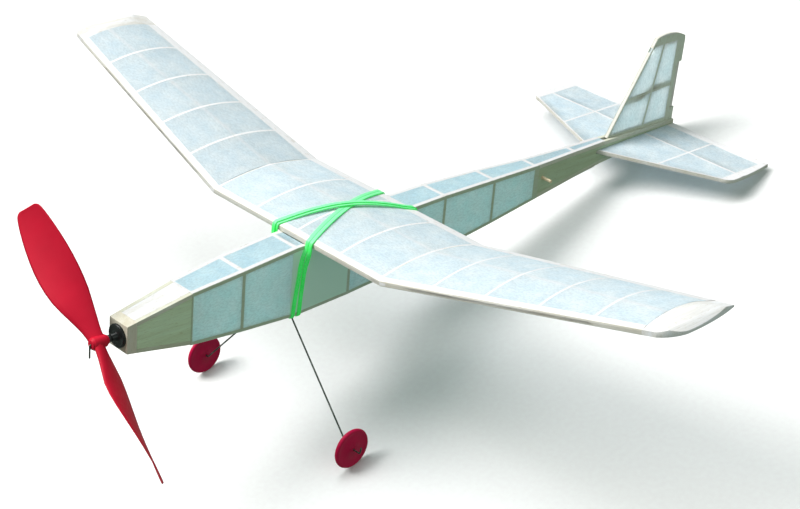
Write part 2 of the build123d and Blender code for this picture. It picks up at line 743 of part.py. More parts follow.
stab_core = stab_plate(TISSUE - TAIL_DEPTH, -TISSUE)
stab_le_zone = prism(stab_top, [
    (GLUE / 2, STAB_LE - 5), (STAB_TIP_X, stab_tip_lead - 5),
    (STAB_TIP_X, stab_tip_lead + STAB_LE_WIDTH), (GLUE / 2, STAB_LE + STAB_LE_WIDTH)])
stab_te_zone = prism(stab_top, [
    (-STAB_TIP_X, TAIL_END - STAB_TE_WIDTH), (STAB_TIP_X, TAIL_END - STAB_TE_WIDTH),
    (STAB_TIP_X, TAIL_END + 1), (-STAB_TIP_X, TAIL_END + 1)])
stab_spar_zone = prism(stab_top, [
    (-STAB_TIP_X, STAB_SPAR_Y - TAIL_STRIP / 2), (STAB_TIP_X, STAB_SPAR_Y - TAIL_STRIP / 2),
    (STAB_TIP_X, STAB_SPAR_Y + TAIL_STRIP / 2), (-STAB_TIP_X, STAB_SPAR_Y + TAIL_STRIP / 2)])
stab_tip_zone = prism(stab_top, [
    (STAB_TIP_X, STAB_LE), (STAB_HALF_SPAN + 5, STAB_LE),
    (STAB_HALF_SPAN + 5, TAIL_END + 1), (STAB_TIP_X, TAIL_END + 1)])
stab_rib_zone = prism(stab_top, [
    (STAB_RIB_X - TAIL_STRIP / 2, STAB_LE), (STAB_RIB_X + TAIL_STRIP / 2, STAB_LE),
    (STAB_RIB_X + TAIL_STRIP / 2, TAIL_END), (STAB_RIB_X - TAIL_STRIP / 2, TAIL_END)])

with BuildPart() as stab_leading_edges:
    add(stab_le_zone)
    add(mirrored(stab_le_zone))
    add(stab_core, mode=Mode.INTERSECT)
keep("stab_leading_edges", stab_leading_edges.part)

with BuildPart() as stab_trailing_edge:
    add(stab_te_zone)
    add(stab_core, mode=Mode.INTERSECT)
keep("stab_trailing_edge", stab_trailing_edge.part)

with BuildPart() as stab_spar:
    add(stab_spar_zone)
    add(stab_core, mode=Mode.INTERSECT)
keep("stab_spar", stab_spar.part)

with BuildPart() as stab_ribs:
    add(stab_rib_zone)
    add(mirrored(stab_rib_zone))
    add(stab_core, mode=Mode.INTERSECT)
    for zone in (stab_le_zone, mirrored(stab_le_zone), stab_te_zone, stab_spar_zone):
        add(zone, mode=Mode.SUBTRACT)
keep("stab_ribs", stab_ribs.part)

with BuildPart() as stab_tip:
    add(stab_tip_zone)
    add(stab_core, mode=Mode.INTERSECT)
keep("stab_tip_port", stab_tip.part)
keep("stab_tip_starboard", mirrored(stab_tip.part))

with BuildPart() as stab_tissue:
    add(stab_plate(-TISSUE, 0))
    add(stab_plate(-TAIL_DEPTH, TISSUE - TAIL_DEPTH))
keep("stab_tissue", stab_tissue.part)

# ======================================================================= fin
# Drawn on Plane.YZ, whose local x runs aft and local y up.
fin_foot_fore = (FIN_LE_FOOT, line_at(FIN_LE_FOOT, "top"))
fin_foot_aft = (TAIL_END - 0.6, line_at(TAIL_END - 0.6, "top"))
te_run = FIN_TE_TOP[0] - fin_foot_aft[0]
te_rise = FIN_TE_TOP[1] - fin_foot_aft[1]


def te_at(z, forward=0.0):
    """Point on the fin's trailing edge line, or on one parallel to it further forward."""
    return (fin_foot_aft[0] + te_run * (z - fin_foot_aft[1]) / te_rise - forward, z)


def fin_plate(half_thickness):
    """The fin's whole outline."""
    with BuildPart() as plate:
        with BuildSketch(Plane.YZ):
            with BuildLine():
                Polyline(FIN_TE_TOP, fin_foot_aft, fin_foot_fore, FIN_LE_TOP)
                ThreePointArc(FIN_LE_TOP, (FIN_LE_TOP[0] + 19, FIN_LE_TOP[1] + 1.4), FIN_TE_TOP)
            make_face()
        extrude(amount=half_thickness, both=True)
        add(tab_notch, mode=Mode.SUBTRACT)
    return plate.part


def fin_zone(corners):
    """Block across the fin over a side outline."""
    return prism(Plane.YZ, corners)


tab_notch = fin_zone([
    te_at(TAB_LOW, TAB_WIDTH), te_at(TAB_HIGH, TAB_WIDTH), te_at(TAB_HIGH, -5), te_at(TAB_LOW, -5)])
fin_core = fin_plate(FIN_THICKNESS / 2 - TISSUE)
fin_outer = fin_plate(FIN_THICKNESS / 2)
fin_le_zone = fin_zone([
    (fin_foot_fore[0] - 5, fin_foot_fore[1] - 1),
    (fin_foot_fore[0] + FIN_LE_WIDTH, fin_foot_fore[1] - 1),
    (FIN_LE_TOP[0] + FIN_LE_WIDTH, FIN_LE_TOP[1] + 4),
    (FIN_LE_TOP[0] - 5, FIN_LE_TOP[1] + 4)])
fin_te_zone = fin_zone([
    te_at(0, FIN_TE_WIDTH), te_at(90, FIN_TE_WIDTH), te_at(90, -5), te_at(0, -5)])
fin_tip_zone = fin_zone([
    (500, FIN_LE_TOP[1] - FIN_TIP_DEPTH), (600, FIN_TE_TOP[1] - FIN_TIP_DEPTH + 1.6),
    (600, 120), (500, 120)])
fin_base_zone = fin_zone([
    (fin_foot_fore[0] - 20, fin_foot_fore[1] - 3),
    (fin_foot_aft[0] + 20, fin_foot_aft[1] - 3),
    (fin_foot_aft[0] + 20, fin_foot_aft[1] + FIN_BASE_DEPTH),
    (fin_foot_fore[0] - 20, fin_foot_fore[1] + FIN_BASE_DEPTH)])
fin_spar_zone = fin_zone([
    (FIN_SPAR_FOOT - TAIL_STRIP / 2, 0), (FIN_SPAR_FOOT + TAIL_STRIP / 2, 0),
    (FIN_SPAR_TOP + TAIL_STRIP / 2, 80), (FIN_SPAR_TOP - TAIL_STRIP / 2, 80)])
fin_rib_zone = fin_zone([
    (500, FIN_RIB_Z - TAIL_STRIP / 2 - 0.9), (590, FIN_RIB_Z - TAIL_STRIP / 2 + 1.5),
    (590, FIN_RIB_Z + TAIL_STRIP / 2 + 1.5), (500, FIN_RIB_Z + TAIL_STRIP / 2 - 0.9)])


def fin_piece(name, zone, *cut_by):
    """One strip of the fin: its zone of the core, less the strips it butts against."""
    with BuildPart() as piece:
        add(zone)
        add(fin_core, mode=Mode.INTERSECT)
        for other in cut_by:
            add(other, mode=Mode.SUBTRACT)
    keep(name, piece.part)


fin_piece("fin_leading_edge", fin_le_zone)
fin_piece("fin_tip", fin_tip_zone, fin_le_zone)
fin_piece("fin_base", fin_base_zone, fin_le_zone)
fin_piece("fin_trailing_edge", fin_te_zone, fin_tip_zone, fin_base_zone)
fin_piece("fin_spar", fin_spar_zone, fin_tip_zone, fin_base_zone)
fin_piece("fin_rib", fin_rib_zone, fin_le_zone, fin_te_zone, fin_spar_zone)

with BuildPart() as fin_tissue:
    add(fin_outer)
    with BuildSketch(Plane.YZ):
        with Locations((540, 40)):
            Rectangle(300, 300)
    extrude(amount=FIN_THICKNESS / 2 - TISSUE, both=True, mode=Mode.SUBTRACT)
keep("fin_tissue", fin_tissue.part)

# Trim tab: round-nosed strip that bends about a line inside the notch.
TAB_GAP = 0.3
hinge_low = te_at(TAB_LOW + TAB_GAP, TAB_WIDTH - TAB_GAP - TAB_THICKNESS / 2)
hinge_high = te_at(TAB_HIGH - TAB_GAP, TAB_WIDTH - TAB_GAP - TAB_THICKNESS / 2)
hinge_line = Vector(0, hinge_high[0] - hinge_low[0], hinge_high[1] - hinge_low[1])
tab_chord = TAB_WIDTH - TAB_GAP - TAB_THICKNESS / 2
bend = radians(TAB_REST)
tab_plane = Plane(
    origin=(0, hinge_low[0], hinge_low[1]),
    x_dir=(-sin(bend), cos(bend) * cos(atan2(te_run, te_rise)), -cos(bend) * sin(atan2(te_run, te_rise))),
    z_dir=hinge_line)
with BuildPart() as trim_tab:
    with BuildSketch(tab_plane):
        Circle(TAB_THICKNESS / 2)
        with Locations((tab_chord / 2, 0)):
            Rectangle(tab_chord, TAB_THICKNESS)
    extrude(amount=hinge_line.length)
keep("trim_tab", trim_tab.part)

# ============================================================ wing hold-down
# Two rubber bands, each a closed figure of eight: under the fuselage at the landing
# gear, up over the leading edge, across the wing, down behind the trailing edge and
# under the fuselage again.
SIDE_INNER = line_at(GEAR_STATION, "half") + TISSUE + SEAT_GAP + BAND_RADIUS
SIDE_OUTER = SIDE_INNER + BAND_STEP
band_rear_y = WING_LE + CHORD + SEAT_GAP + BAND_RADIUS
front_under = line_at(BAND_Y_FRONT, "bottom") - TISSUE - SEAT_GAP - BAND_RADIUS
rear_under = line_at(band_rear_y + 2, "bottom") - TISSUE - SEAT_GAP - BAND_RADIUS


def arc_height(aft):
    """Height of the wing's curved top above its underside in the centre panel."""
    x0, y0 = LE_WIDTH, LE_TOP
    x1, y1 = CREST_SHARE * CHORD, CREST
    x2, y2 = CHORD - TE_WIDTH, TE_TOP
    share0 = (aft - x1) * (aft - x2) / ((x0 - x1) * (x0 - x2))
    share1 = (aft - x0) * (aft - x2) / ((x1 - x0) * (x1 - x2))
    share2 = (aft - x0) * (aft - x1) / ((x2 - x0) * (x2 - x1))
    return share0 * y0 + share1 * y1 + share2 * y2


def diagonal(front_x, rear_x, lift):
    """Points of one run over the wing, front to back, raised where the runs cross."""
    points = []
    for share in (0.10, 0.26, 0.44, 0.56, 0.74, 0.86, 0.94):
        aft = share * CHORD
        over = lift * max(0.0, min(1.0, (0.34 - abs(share - 0.5)) / 0.28))
        height = WING_Z + arc_height(aft) + TISSUE + SEAT_GAP + BAND_RADIUS + over
        points.append((front_x + share * (rear_x - front_x), WING_LE + aft, height))
    return points


def corner_front(x):
    """Two points in front of the leading edge, top first."""
    y = WING_LE - SEAT_GAP - BAND_RADIUS
    return [(x, y, WING_Z + LE_TOP + 0.9), (x, y - 0.6, WING_Z - 6)]


def corner_rear(x):
    """Two points behind the trailing edge, top first."""
    return [(x, band_rear_y, WING_Z + TE_EDGE + 1.4), (x, band_rear_y + 0.6, WING_Z - 6)]


def band_half(front_x, rear_x, front_z, rear_z, lift):
    """Half a band's route, from under the nose round one diagonal to under the tail."""
    points = [(0, BAND_Y_FRONT, front_z), (front_x, BAND_Y_FRONT, front_z)]
    points += reversed(corner_front(front_x))
    points += diagonal(front_x, rear_x, lift)
    points += corner_rear(rear_x)
    points += [(rear_x, band_rear_y + 2, rear_z), (0, band_rear_y + 2, rear_z)]
    return points


def rubber_band(name, front_x, rear_x, front_z, rear_z):
    """One closed band: two halves swept along their routes and joined under the fuselage."""
    with BuildPart() as band:
        for side, lift in ((1, 0), (-1, BAND_STEP + 0.1)):
            with BuildLine() as route:
                FilletPolyline(
                    *band_half(side * front_x, -side * rear_x, front_z, rear_z, lift),
                    radius=BAND_BEND)
            with BuildSketch(Plane(origin=route.line @ 0, z_dir=route.line % 0)):
                Circle(BAND_RADIUS)
            sweep()
    keep(name, band.part)


rubber_band("wing_band_inner", SIDE_INNER, SIDE_OUTER, front_under, rear_under - BAND_STEP)
rubber_band("wing_band_outer", SIDE_OUTER, SIDE_INNER, front_under - BAND_STEP, rear_under)

# ============================================== stand it on wheels and tail
# The ground line touches both wheels and the lowest corner of the tail.
tail_corner = STATIONS[-1]
run = tail_corner.y - GEAR_STATION
rise = tail_corner.bottom - AXLE_Z
attitude = atan2(rise, run) + asin(WHEEL_RADIUS / hypot(run, rise))
standing = Rot(X=-degrees(attitude))
stood = {name: standing * part for name, part in pieces.items()}
box = Compound(children=list(stood.values())).bounding_box()
placing = Pos(-box.center().X, -box.center().Y, -box.min.Z) * standing

os.makedirs("parts", exist_ok=True)
for name, part in pieces.items():
    placed = placing * part
    placed.label = name
    export_step(placed, f"parts/{name}.step")


def report(words, point, direction=None):
    """Print a joint or mount place of the finished frame, in metres."""
    place = placing * Location(point)
    line = f"{words}: {[round(value / 1000, 6) for value in place.position]}"
    if direction:
        turned = Vector(*direction).rotate(Axis.X, -degrees(attitude)).normalized()
        line += f" axis {[round(value, 6) for value in turned]}"
    print(line)


print(f"nodes {len(pieces)}, attitude {degrees(attitude):.3f} degrees, size {box.size}")
report("thrust line", (0, 0, THRUST_Z), (0, -1, 0))
report("wheel port", (WHEEL_MID_X, GEAR_STATION, AXLE_Z), (1, 0, 0))
report("tab hinge", (0, hinge_low[0], hinge_low[1]), tuple(hinge_line))
report("peg port end", (peg_shoulder + PEG_END_LENGTH / 2, PEG_Y, PEG_Z), (1, 0, 0))
report("tail corner", (0, tail_corner.y, tail_corner.bottom))
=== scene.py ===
"""Finish of a rubber-powered balsa and tissue model aeroplane, laid over its fixed frame.

Shapes are drawn flat, as on a builder's plan, in millimetres: +X to port, +Y aft from the
nose face, +Z up from the top of the tailplane. drawing_matrix() stands them on the ground.
"""

import json
import math
import random

import bmesh
import bpy
from mathutils import Matrix, Vector


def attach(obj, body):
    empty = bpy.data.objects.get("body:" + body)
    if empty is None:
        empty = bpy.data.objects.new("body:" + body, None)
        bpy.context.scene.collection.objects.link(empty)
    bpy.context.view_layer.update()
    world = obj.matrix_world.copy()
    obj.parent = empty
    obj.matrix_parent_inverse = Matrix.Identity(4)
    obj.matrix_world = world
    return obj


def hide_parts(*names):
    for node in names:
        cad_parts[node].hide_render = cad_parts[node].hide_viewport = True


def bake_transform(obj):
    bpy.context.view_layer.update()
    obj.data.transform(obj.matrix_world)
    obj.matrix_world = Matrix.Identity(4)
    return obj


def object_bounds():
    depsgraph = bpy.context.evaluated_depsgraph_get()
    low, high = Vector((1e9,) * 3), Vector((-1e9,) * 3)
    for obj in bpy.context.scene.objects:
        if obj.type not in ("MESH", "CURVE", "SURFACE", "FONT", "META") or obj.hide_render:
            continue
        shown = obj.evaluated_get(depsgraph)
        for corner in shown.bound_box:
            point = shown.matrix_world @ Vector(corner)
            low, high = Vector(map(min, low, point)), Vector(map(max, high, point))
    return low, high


bl_info = {
    "name": "Rubber-powered aeroplane finish",
    "version": (1, 0, 0),
    "blender": (4, 5, 0),
    "location": "View3D > Sidebar > Aeroplane",
    "description": "Covers and finishes a balsa and tissue model aeroplane on its frame",
    "category": "Object",
}

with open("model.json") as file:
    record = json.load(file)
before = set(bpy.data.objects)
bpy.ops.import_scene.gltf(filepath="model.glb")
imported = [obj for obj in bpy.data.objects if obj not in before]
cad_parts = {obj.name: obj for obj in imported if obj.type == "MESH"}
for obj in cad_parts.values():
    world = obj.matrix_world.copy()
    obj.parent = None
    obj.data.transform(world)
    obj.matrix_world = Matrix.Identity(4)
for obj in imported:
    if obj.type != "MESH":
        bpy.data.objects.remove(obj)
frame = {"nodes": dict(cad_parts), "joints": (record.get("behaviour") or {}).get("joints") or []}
FRAME_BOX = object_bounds()
JOINTS = {joint["name"]: joint for joint in frame["joints"]}

MM = 0.001
TISSUE = 0.3               # covering stands this far off the wood
TISSUE_SHEET = 0.12        # thickness of the covering itself
STRIP = 3.2                # square strip of the fuselage
SIDE_STRIP = 2.3           # how much of a strip the glue shows through on the sides

# fuselage, lengths from the nose face
THRUST_Z = -17.0
NOSE_SHEET_END = 54.0
COVER_START = 53.0
GEAR_STATION = 146.0
GEAR_STRIP = 8.0
UPRIGHTS = (97.0, 198.0, 250.0, 296.0, 352.0)
TOP_CROSSPIECES = (97.0, 146.0, 296.0, 352.0, 403.0, 453.0)
BOTTOM_CROSSPIECES = (97.0, 198.0, 250.0, 296.0, 352.0, 403.0, 453.0)
PEG_STATION = 403.0
PEG_Y = 412.3
PEG_Z = -5.0
SIDE_COVER_END = PEG_STATION + 4.0
SADDLE_END = 198.0
TOP_COVER_END = 491.0
WING_MARGIN = 0.8          # between the wing and the covering before and behind it

# wing
WING_SEAT = 11.8
WING_Z = WING_SEAT + TISSUE
WING_LE = 154.3
CHORD = 103.5
CENTRE_BAY = 45.2
BREAK_X = 2 * CENTRE_BAY
BREAK_RIB = BREAK_X - 2.0
OUTER_BAY = 42.8
TIP_START = 209.0
DIHEDRAL = math.radians(12.36)
TAPER = 0.14
RIB = 1.6
LE_WIDTH = 4.8
LE_FACE = 3.6
LE_TOP = 5.0
CREST = 10.2
TIP_CREST = 8.6
CREST_SHARE = 0.43
TE_WIDTH = 9.8
TE_TOP = 3.6
TE_EDGE = 1.2
SPAR_LINE = 53.5

# tail
STAB_LE = 480.5
TAIL_END = 582.0
STAB_SWEEP = 0.44
STAB_TIP_X = 100.0
STAB_HALF_SPAN = 108.5
STAB_SPAR_Y = 543.5
STAB_RIB_X = 51.4
STAB_TE_WIDTH = 8.0
TAIL_STRIP = 1.6
TAIL_DEPTH = 3.2
FIN_LE_FOOT = 497.0
FIN_LE_TOP = (547.0, 83.0)
FIN_TE_TOP = (584.2, 78.6)
FIN_TE_WIDTH = 10.0
FIN_RIB_Z = 36.0
FIN_RIB_RISE = 0.027       # of the rib, per millimetre aft
FIN_RIB_START = 545.0
FIN_HALF = 1.6             # half its thickness
FIN_BASE = 3.0
FIN_CAP = 6.5
FIN_SPAR_LOW = 540.8       # where the spar stands at the foot, and 80 mm higher
FIN_SPAR_HIGH = 557.5
TAIL_LE_WIDTH = 1.4
FIN_LE_WIDTH = 1.6
TAB_LOW = 15.0
TAB_HIGH = 56.0
TAB_WIDTH = 5.6

# nose and power
BUTTON_FRONT = 6.5
PLUG_HALF = 5.4
PLUG_DEPTH = 8.0
HUB_START = 9.3
HUB_DEPTH = 13.4
HUB_RADIUS = 4.6
BLADE_ANGLE = math.radians(44.0)
PROP_RADIUS = 104.0
PROP_PITCH = 340.0
ROOT_PITCH = math.radians(62)
HUB_BORE = 0.62
BUTTON_BORE = 0.65
HOOK_Y = 21.5              # rear hook of the shaft
MOTOR_STRANDS = 4
MOTOR_STEPS = 60           # along each strand
MOTOR_WIDTH = 2.0
MOTOR_THICKNESS = 0.9

# landing gear
AXLE_Z = -120.0
WHEEL_RADIUS = 15.5
WHEEL_MID_X = 83.6
WHEEL_HUB = 4.8
WHEEL_RIM = 3.2
WHEEL_TREAD = 1.5          # radius of the rounded tread
AXLE_BORE = 0.66

# wing bands
BAND_GAP = 1.0             # from the wood to the middle of a band
BAND_SKIN = 0.55           # from the wing covering to the middle of a band
SIDE_SPREAD = 0.7          # how much further apart the strands lie under the fuselage
SIDE_DEPTH = 50.0          # below the wing, where they are that far apart
EDGE_BEND = 2.0            # radius round the lower edges of the fuselage
EDGE_TURNS = (0.15, 0.5, 0.85)
LE_BEND = 1.8              # radius round the wing's leading edge
BAND_TWIST = ((7, 0.72), (2, 0.42), (-4, 0.15), (-10, 0.0))    # height, share of a quarter turn
TWIST_LEAN = 2.6           # how far a band leans out where it is fully turned
STRAND_GAP = 0.25          # between the two strands of the run that lies below
STRAND_LAP = 0.55          # shift between the two of the run above, in widths
PORT, AFT, DOWN = (1, 0, 0), (0, 1, 0), (0, 0, -1)

# wood and paper
PORE_SHOW = 0.35           # how clearly the pores show in bare balsa
FEATHER = 0.35             # width over which glued paper turns to free paper
SPAR_SHOW = 0.5            # how clearly the spar shows through the wing covering
# The olive-green colours of glued wood and of the saddle board under the side and fin tissue are
# painted shade of the shaded sides, with its green tint.
SIDE_BOARD_SHADE = (0.67, 0.92, 0.77)
SIDE_STRIPS_SHADE = (0.52, 0.60, 0.45)
FIN_STRIPS_SHADE = (0.70, 0.74, 0.62)
WING_STRIPS = (0.88, 0.855, 0.88)
STARBOARD_PAINTED_SHADE = 0.94     # painted shade: this wing panel's tissue is made a little darker than the others

# studio, in metres; the camera's seat and directions are on the drawing
LENS = 91.35
CAMERA_SEAT = (958.0, -727.7, 660.9)
CAMERA_AHEAD = (-0.62, 0.6428, -0.4499)
CAMERA_RIGHT = (0.6901, 0.7196, 0.077)
FLOOR_REACH = 6.0
PAPER_ROOM = (0.7, 1.5)    # the floor's paper runs into the backdrop between these distances
BACKDROP = (1.0, 1.0, 1.0, 1)
LAMP_TARGET = (0, -0.02, 0.1)
LAMPS = (                  # name, seat, diameter, setting with its strength, colour
    ("key", (-2.2, -1.85, 3.65), 2.6, "key_strength", (1.0, 0.985, 0.965)),
    ("top", (-0.7, 0.3, 2.4), 1.8, "top_strength", (0.985, 0.99, 1.0)),
    ("side", (2.0, 0.1, 0.9), 1.2, "side_strength", (0.93, 1.0, 0.97)),
)

SQUARE = ((-1, -1), (1, -1), (1, 1), (-1, 1))      # corners in turn


def drawing_matrix():
    """From the flat drawing, in millimetres, to the standing aeroplane, in metres."""
    spin = JOINTS["propeller_spin"]
    port = Vector((1, 0, 0))
    aft = -Vector(spin["axis"]).normalized()
    up = port.cross(aft)
    origin = Vector(spin["pos_m"]) - up * THRUST_Z * MM
    turn = Matrix((port, aft, up)).transposed().to_4x4()
    return Matrix.Translation(origin) @ turn @ Matrix.Scale(MM, 4)


DRAWING = drawing_matrix()


# ------------------------------------------------------------------ shader help
class Graph:
    """A material's node tree, with short ways to add and join its nodes."""

    def __init__(self, name):
        self.material = bpy.data.materials.new(name)
        self.material.use_nodes = True
        self.tree = self.material.node_tree
        self.tree.nodes.clear()
        self.output = self.tree.nodes.new("ShaderNodeOutputMaterial")
        self.place = self.node("ShaderNodeTexCoord").outputs["Object"]

    def set(self, socket, value):
        """A value on a socket, or a link into it."""
        if isinstance(value, bpy.types.NodeSocket):
            self.tree.links.new(value, socket)
        else:
            socket.default_value = value

    def node(self, kind, inputs=None, **settings):
        """A node with its settings, and its inputs by name or place."""
        made = self.tree.nodes.new(kind)
        for key, value in settings.items():
            setattr(made, key, value)
        for key, value in (inputs or {}).items():
            self.set(made.inputs[key], value)
        return made

    def math(self, operation, a, b=0.0, clamp=False):
        made = self.node("ShaderNodeMath", {0: a, 1: b}, operation=operation)
        made.use_clamp = clamp
        return made.outputs[0]

    def mix(self, share, a, b, blend="MIX"):
        """Two colours mixed."""
        made = self.node("ShaderNodeMix", data_type="RGBA", blend_type=blend)
        self.set(made.inputs["Factor"], share)
        self.set(made.inputs["A"], a)
        self.set(made.inputs["B"], b)
        return made.outputs["Result"]

    def between(self, value, low, high, first, second):
        """The first colour where a grey value is under low, the second where it is over high."""
        return self.mix(self.ramp(value, (low, 0.0), (high, 1.0)), first, second)

    def ramp(self, value, *stops):
        """A grey value mapped through (place, brightness) stops."""
        made = self.node("ShaderNodeValToRGB", {"Fac": value})
        elements = made.color_ramp.elements
        for index, (at, grey) in enumerate(stops):
            element = elements[index] if index < 2 else elements.new(at)
            element.position = at
            element.color = (grey, grey, grey, 1)
        return made.outputs["Color"]

    def noise(self, place, size, detail=2.0, roughness=0.5):
        """Noise whose features are about size metres across."""
        made = self.node("ShaderNodeTexNoise", {
            "Vector": place, "Scale": 1 / size, "Detail": detail, "Roughness": roughness})
        return made.outputs["Fac"]

    def along(self, direction, stretch, shift=0.0):
        """Object coordinates with the first axis along a grain, drawn out by stretch."""
        first = Vector(direction).normalized()
        second = first.orthogonal().normalized()
        rows = Matrix((first, second, first.cross(second)))
        turned = self.node("ShaderNodeMapping", {
            "Vector": self.place, "Rotation": rows.to_euler(),
            "Location": (shift, shift, shift)})
        drawn = self.node("ShaderNodeVectorMath", {
            0: turned.outputs["Vector"], 1: (1 / stretch, 1, 1)}, operation="MULTIPLY")
        return drawn.outputs["Vector"]

    def attribute(self, name):
        return self.node("ShaderNodeAttribute", attribute_name=name).outputs["Fac"]

    def bump(self, height, distance):
        """Normal of a fine relief, distance in metres."""
        made = self.node("ShaderNodeBump", {
            "Height": height, "Distance": distance, "Strength": 1.0})
        return made.outputs["Normal"]

    def finish(self, shader):
        self.tree.links.new(shader, self.output.inputs["Surface"])
        return self.material


def rgb(colour, shade=1.0):
    """A colour with an alpha, as sockets take it, darkened by a shade."""
    return (*(channel * shade for channel in colour[:3]), 1.0)


def within(value):
    """A value held between 0 and 1."""
    return min(1.0, max(0.0, value))


def settings():
    return bpy.context.scene.aeroplane_finish


# -------------------------------------------------------------------- materials
def balsa(name, grain, shift, light_and_shade_tint):
    """Sanded balsa: pale fibres along the grain, short pores and slow colour bands."""
    look = settings()
    graph = Graph(name)
    slow = graph.noise(graph.along(grain, 14, shift), 0.0045, detail=3)
    fibre = graph.noise(graph.along(grain, 26, shift), 0.00085, detail=4, roughness=0.65)
    pores = graph.noise(graph.along(grain, 9, shift + 3), 0.00055, detail=1)
    pore_mask = graph.ramp(pores, (0.64, 0.0), (0.72, 1.0))
    pale, deep, pore = (rgb(c) for c in (look.balsa_pale, look.balsa_deep, look.balsa_pore))
    base = graph.between(slow, 0.3, 0.72, pale, deep)
    streak = graph.ramp(fibre, (0.32, 0.80), (0.68, 1.06))
    base = graph.mix(0.55, base, streak, blend="MULTIPLY")
    base = graph.mix(graph.math("MULTIPLY", pore_mask, PORE_SHOW), base, pore)
    # Multiplied by the piece's tint, which for some pieces is painted shade or painted light.
    base = graph.mix(1.0, base, rgb(light_and_shade_tint), blend="MULTIPLY")
    relief = graph.math("ADD", fibre, graph.math("MULTIPLY", pore_mask, -0.6))
    wood = graph.node("ShaderNodeBsdfPrincipled", {
        "Base Color": base,
        "Roughness": graph.ramp(fibre, (0.3, 0.52), (0.7, 0.74)),
        "Specular IOR Level": 0.3,
        "Normal": graph.bump(relief, 0.00006)})
    return graph.finish(wood.outputs[0])


def dowel_wood(name, grain):
    """Turned birch: warm, close grained, with fine dark lines."""
    graph = Graph(name)
    lines = graph.noise(graph.along(grain, 30), 0.0004, detail=3)
    colour = graph.between(lines, 0.35, 0.7, (0.74, 0.55, 0.34, 1), (0.86, 0.70, 0.48, 1))
    wood = graph.node("ShaderNodeBsdfPrincipled", {
        "Base Color": colour, "Roughness": graph.ramp(lines, (0.2, 0.38), (0.8, 0.55)),
        "Normal": graph.bump(lines, 0.00003)})
    return graph.finish(wood.outputs[0])


def tissue_paper(name, grain, blue, pale, line=0.2, glued_colour=None, glow=None,
                 board_colour=None):
    """Doped tissue: mottled pale blue where it spans, showing the wood where it is glued down."""
    look = settings()
    graph = Graph(name)
    glued = graph.attribute("glued")
    edge = graph.attribute("glue_line")
    cloud = graph.noise(graph.place, 0.011, detail=3)
    fleck = graph.noise(graph.along(grain, 2.2), 0.0011, detail=3, roughness=0.7)
    fibre = graph.noise(graph.along(grain, 7), 0.0008, detail=2)
    span = graph.between(cloud, 0.3, 0.7, rgb(blue), rgb(pale))
    span = graph.mix(0.5, span, graph.ramp(fleck, (0.34, 0.86), (0.62, 1.08)), blend="MULTIPLY")
    under = glued_colour or look.glued_wood
    wood = graph.between(fibre, 0.3, 0.72, rgb(under, 0.9), rgb(under))
    spots = graph.noise(graph.along(grain, 3), 0.0016, detail=1)
    fleck_mask = graph.ramp(spots, (0.62, 0.0), (0.70, 1.0))
    wood = graph.mix(graph.math("MULTIPLY", fleck_mask, 0.25), wood, rgb(look.balsa_pore))
    colour = graph.mix(glued, span, wood)
    backed = glued
    if board_colour:
        board = graph.attribute("board")
        bare = graph.math("MULTIPLY", board, graph.math("SUBTRACT", 1.0, glued))
        colour = graph.mix(bare, colour, rgb(board_colour))
        backed = graph.math("MAXIMUM", glued, board)
    colour = graph.mix(graph.math("MULTIPLY", edge, line), colour, rgb(look.glue_brown))
    normal = graph.bump(graph.math("ADD", fleck, graph.math("MULTIPLY", fibre, 0.5)), 0.00004)
    paper = graph.node("ShaderNodeBsdfPrincipled", {
        "Base Color": colour, "Roughness": graph.ramp(fleck, (0.3, 0.42), (0.7, 0.6)),
        "Specular IOR Level": 0.35, "Normal": normal})
    backlit = graph.node("ShaderNodeBsdfTranslucent", {"Color": colour, "Normal": normal})
    free = graph.math("SUBTRACT", 1.0, backed, clamp=True)
    through = graph.math("MULTIPLY", free, glow or look.tissue_glow)
    lit = graph.node("ShaderNodeMixShader", {
        0: through, 1: paper.outputs[0], 2: backlit.outputs[0]})
    clear = graph.node("ShaderNodeBsdfTransparent")
    pin = graph.ramp(fleck, (0.3, 1.25), (0.62, 0.75))
    open_share = graph.math("MULTIPLY", graph.math("MULTIPLY", free, look.tissue_clear), pin)
    sheet = graph.node("ShaderNodeMixShader", {
        0: open_share, 1: lit.outputs[0], 2: clear.outputs[0]})
    return graph.finish(sheet.outputs[0])


def moulded_plastic(name, colour, roughness, mottle=0.12, coat=0.25):
    """Injection-moulded plastic: slow shade change, flow marks and a fine skin."""
    graph = Graph(name)
    slow = graph.noise(graph.place, 0.02, detail=2)
    skin = graph.noise(graph.place, 0.0006, detail=3)
    scuff = graph.noise(graph.place, 0.004, detail=5, roughness=0.7)
    base = graph.between(slow, 0.25, 0.75, rgb(colour, 1 - mottle * 2), rgb(colour))
    body = graph.node("ShaderNodeBsdfPrincipled", {
        "Base Color": base,
        "Roughness": graph.ramp(scuff, (0.3, roughness - 0.08), (0.75, roughness + 0.14)),
        "Specular IOR Level": 0.2, "Coat Weight": coat, "Coat Roughness": 0.25,
        "Normal": graph.bump(skin, 0.00002)})
    return graph.finish(body.outputs[0])


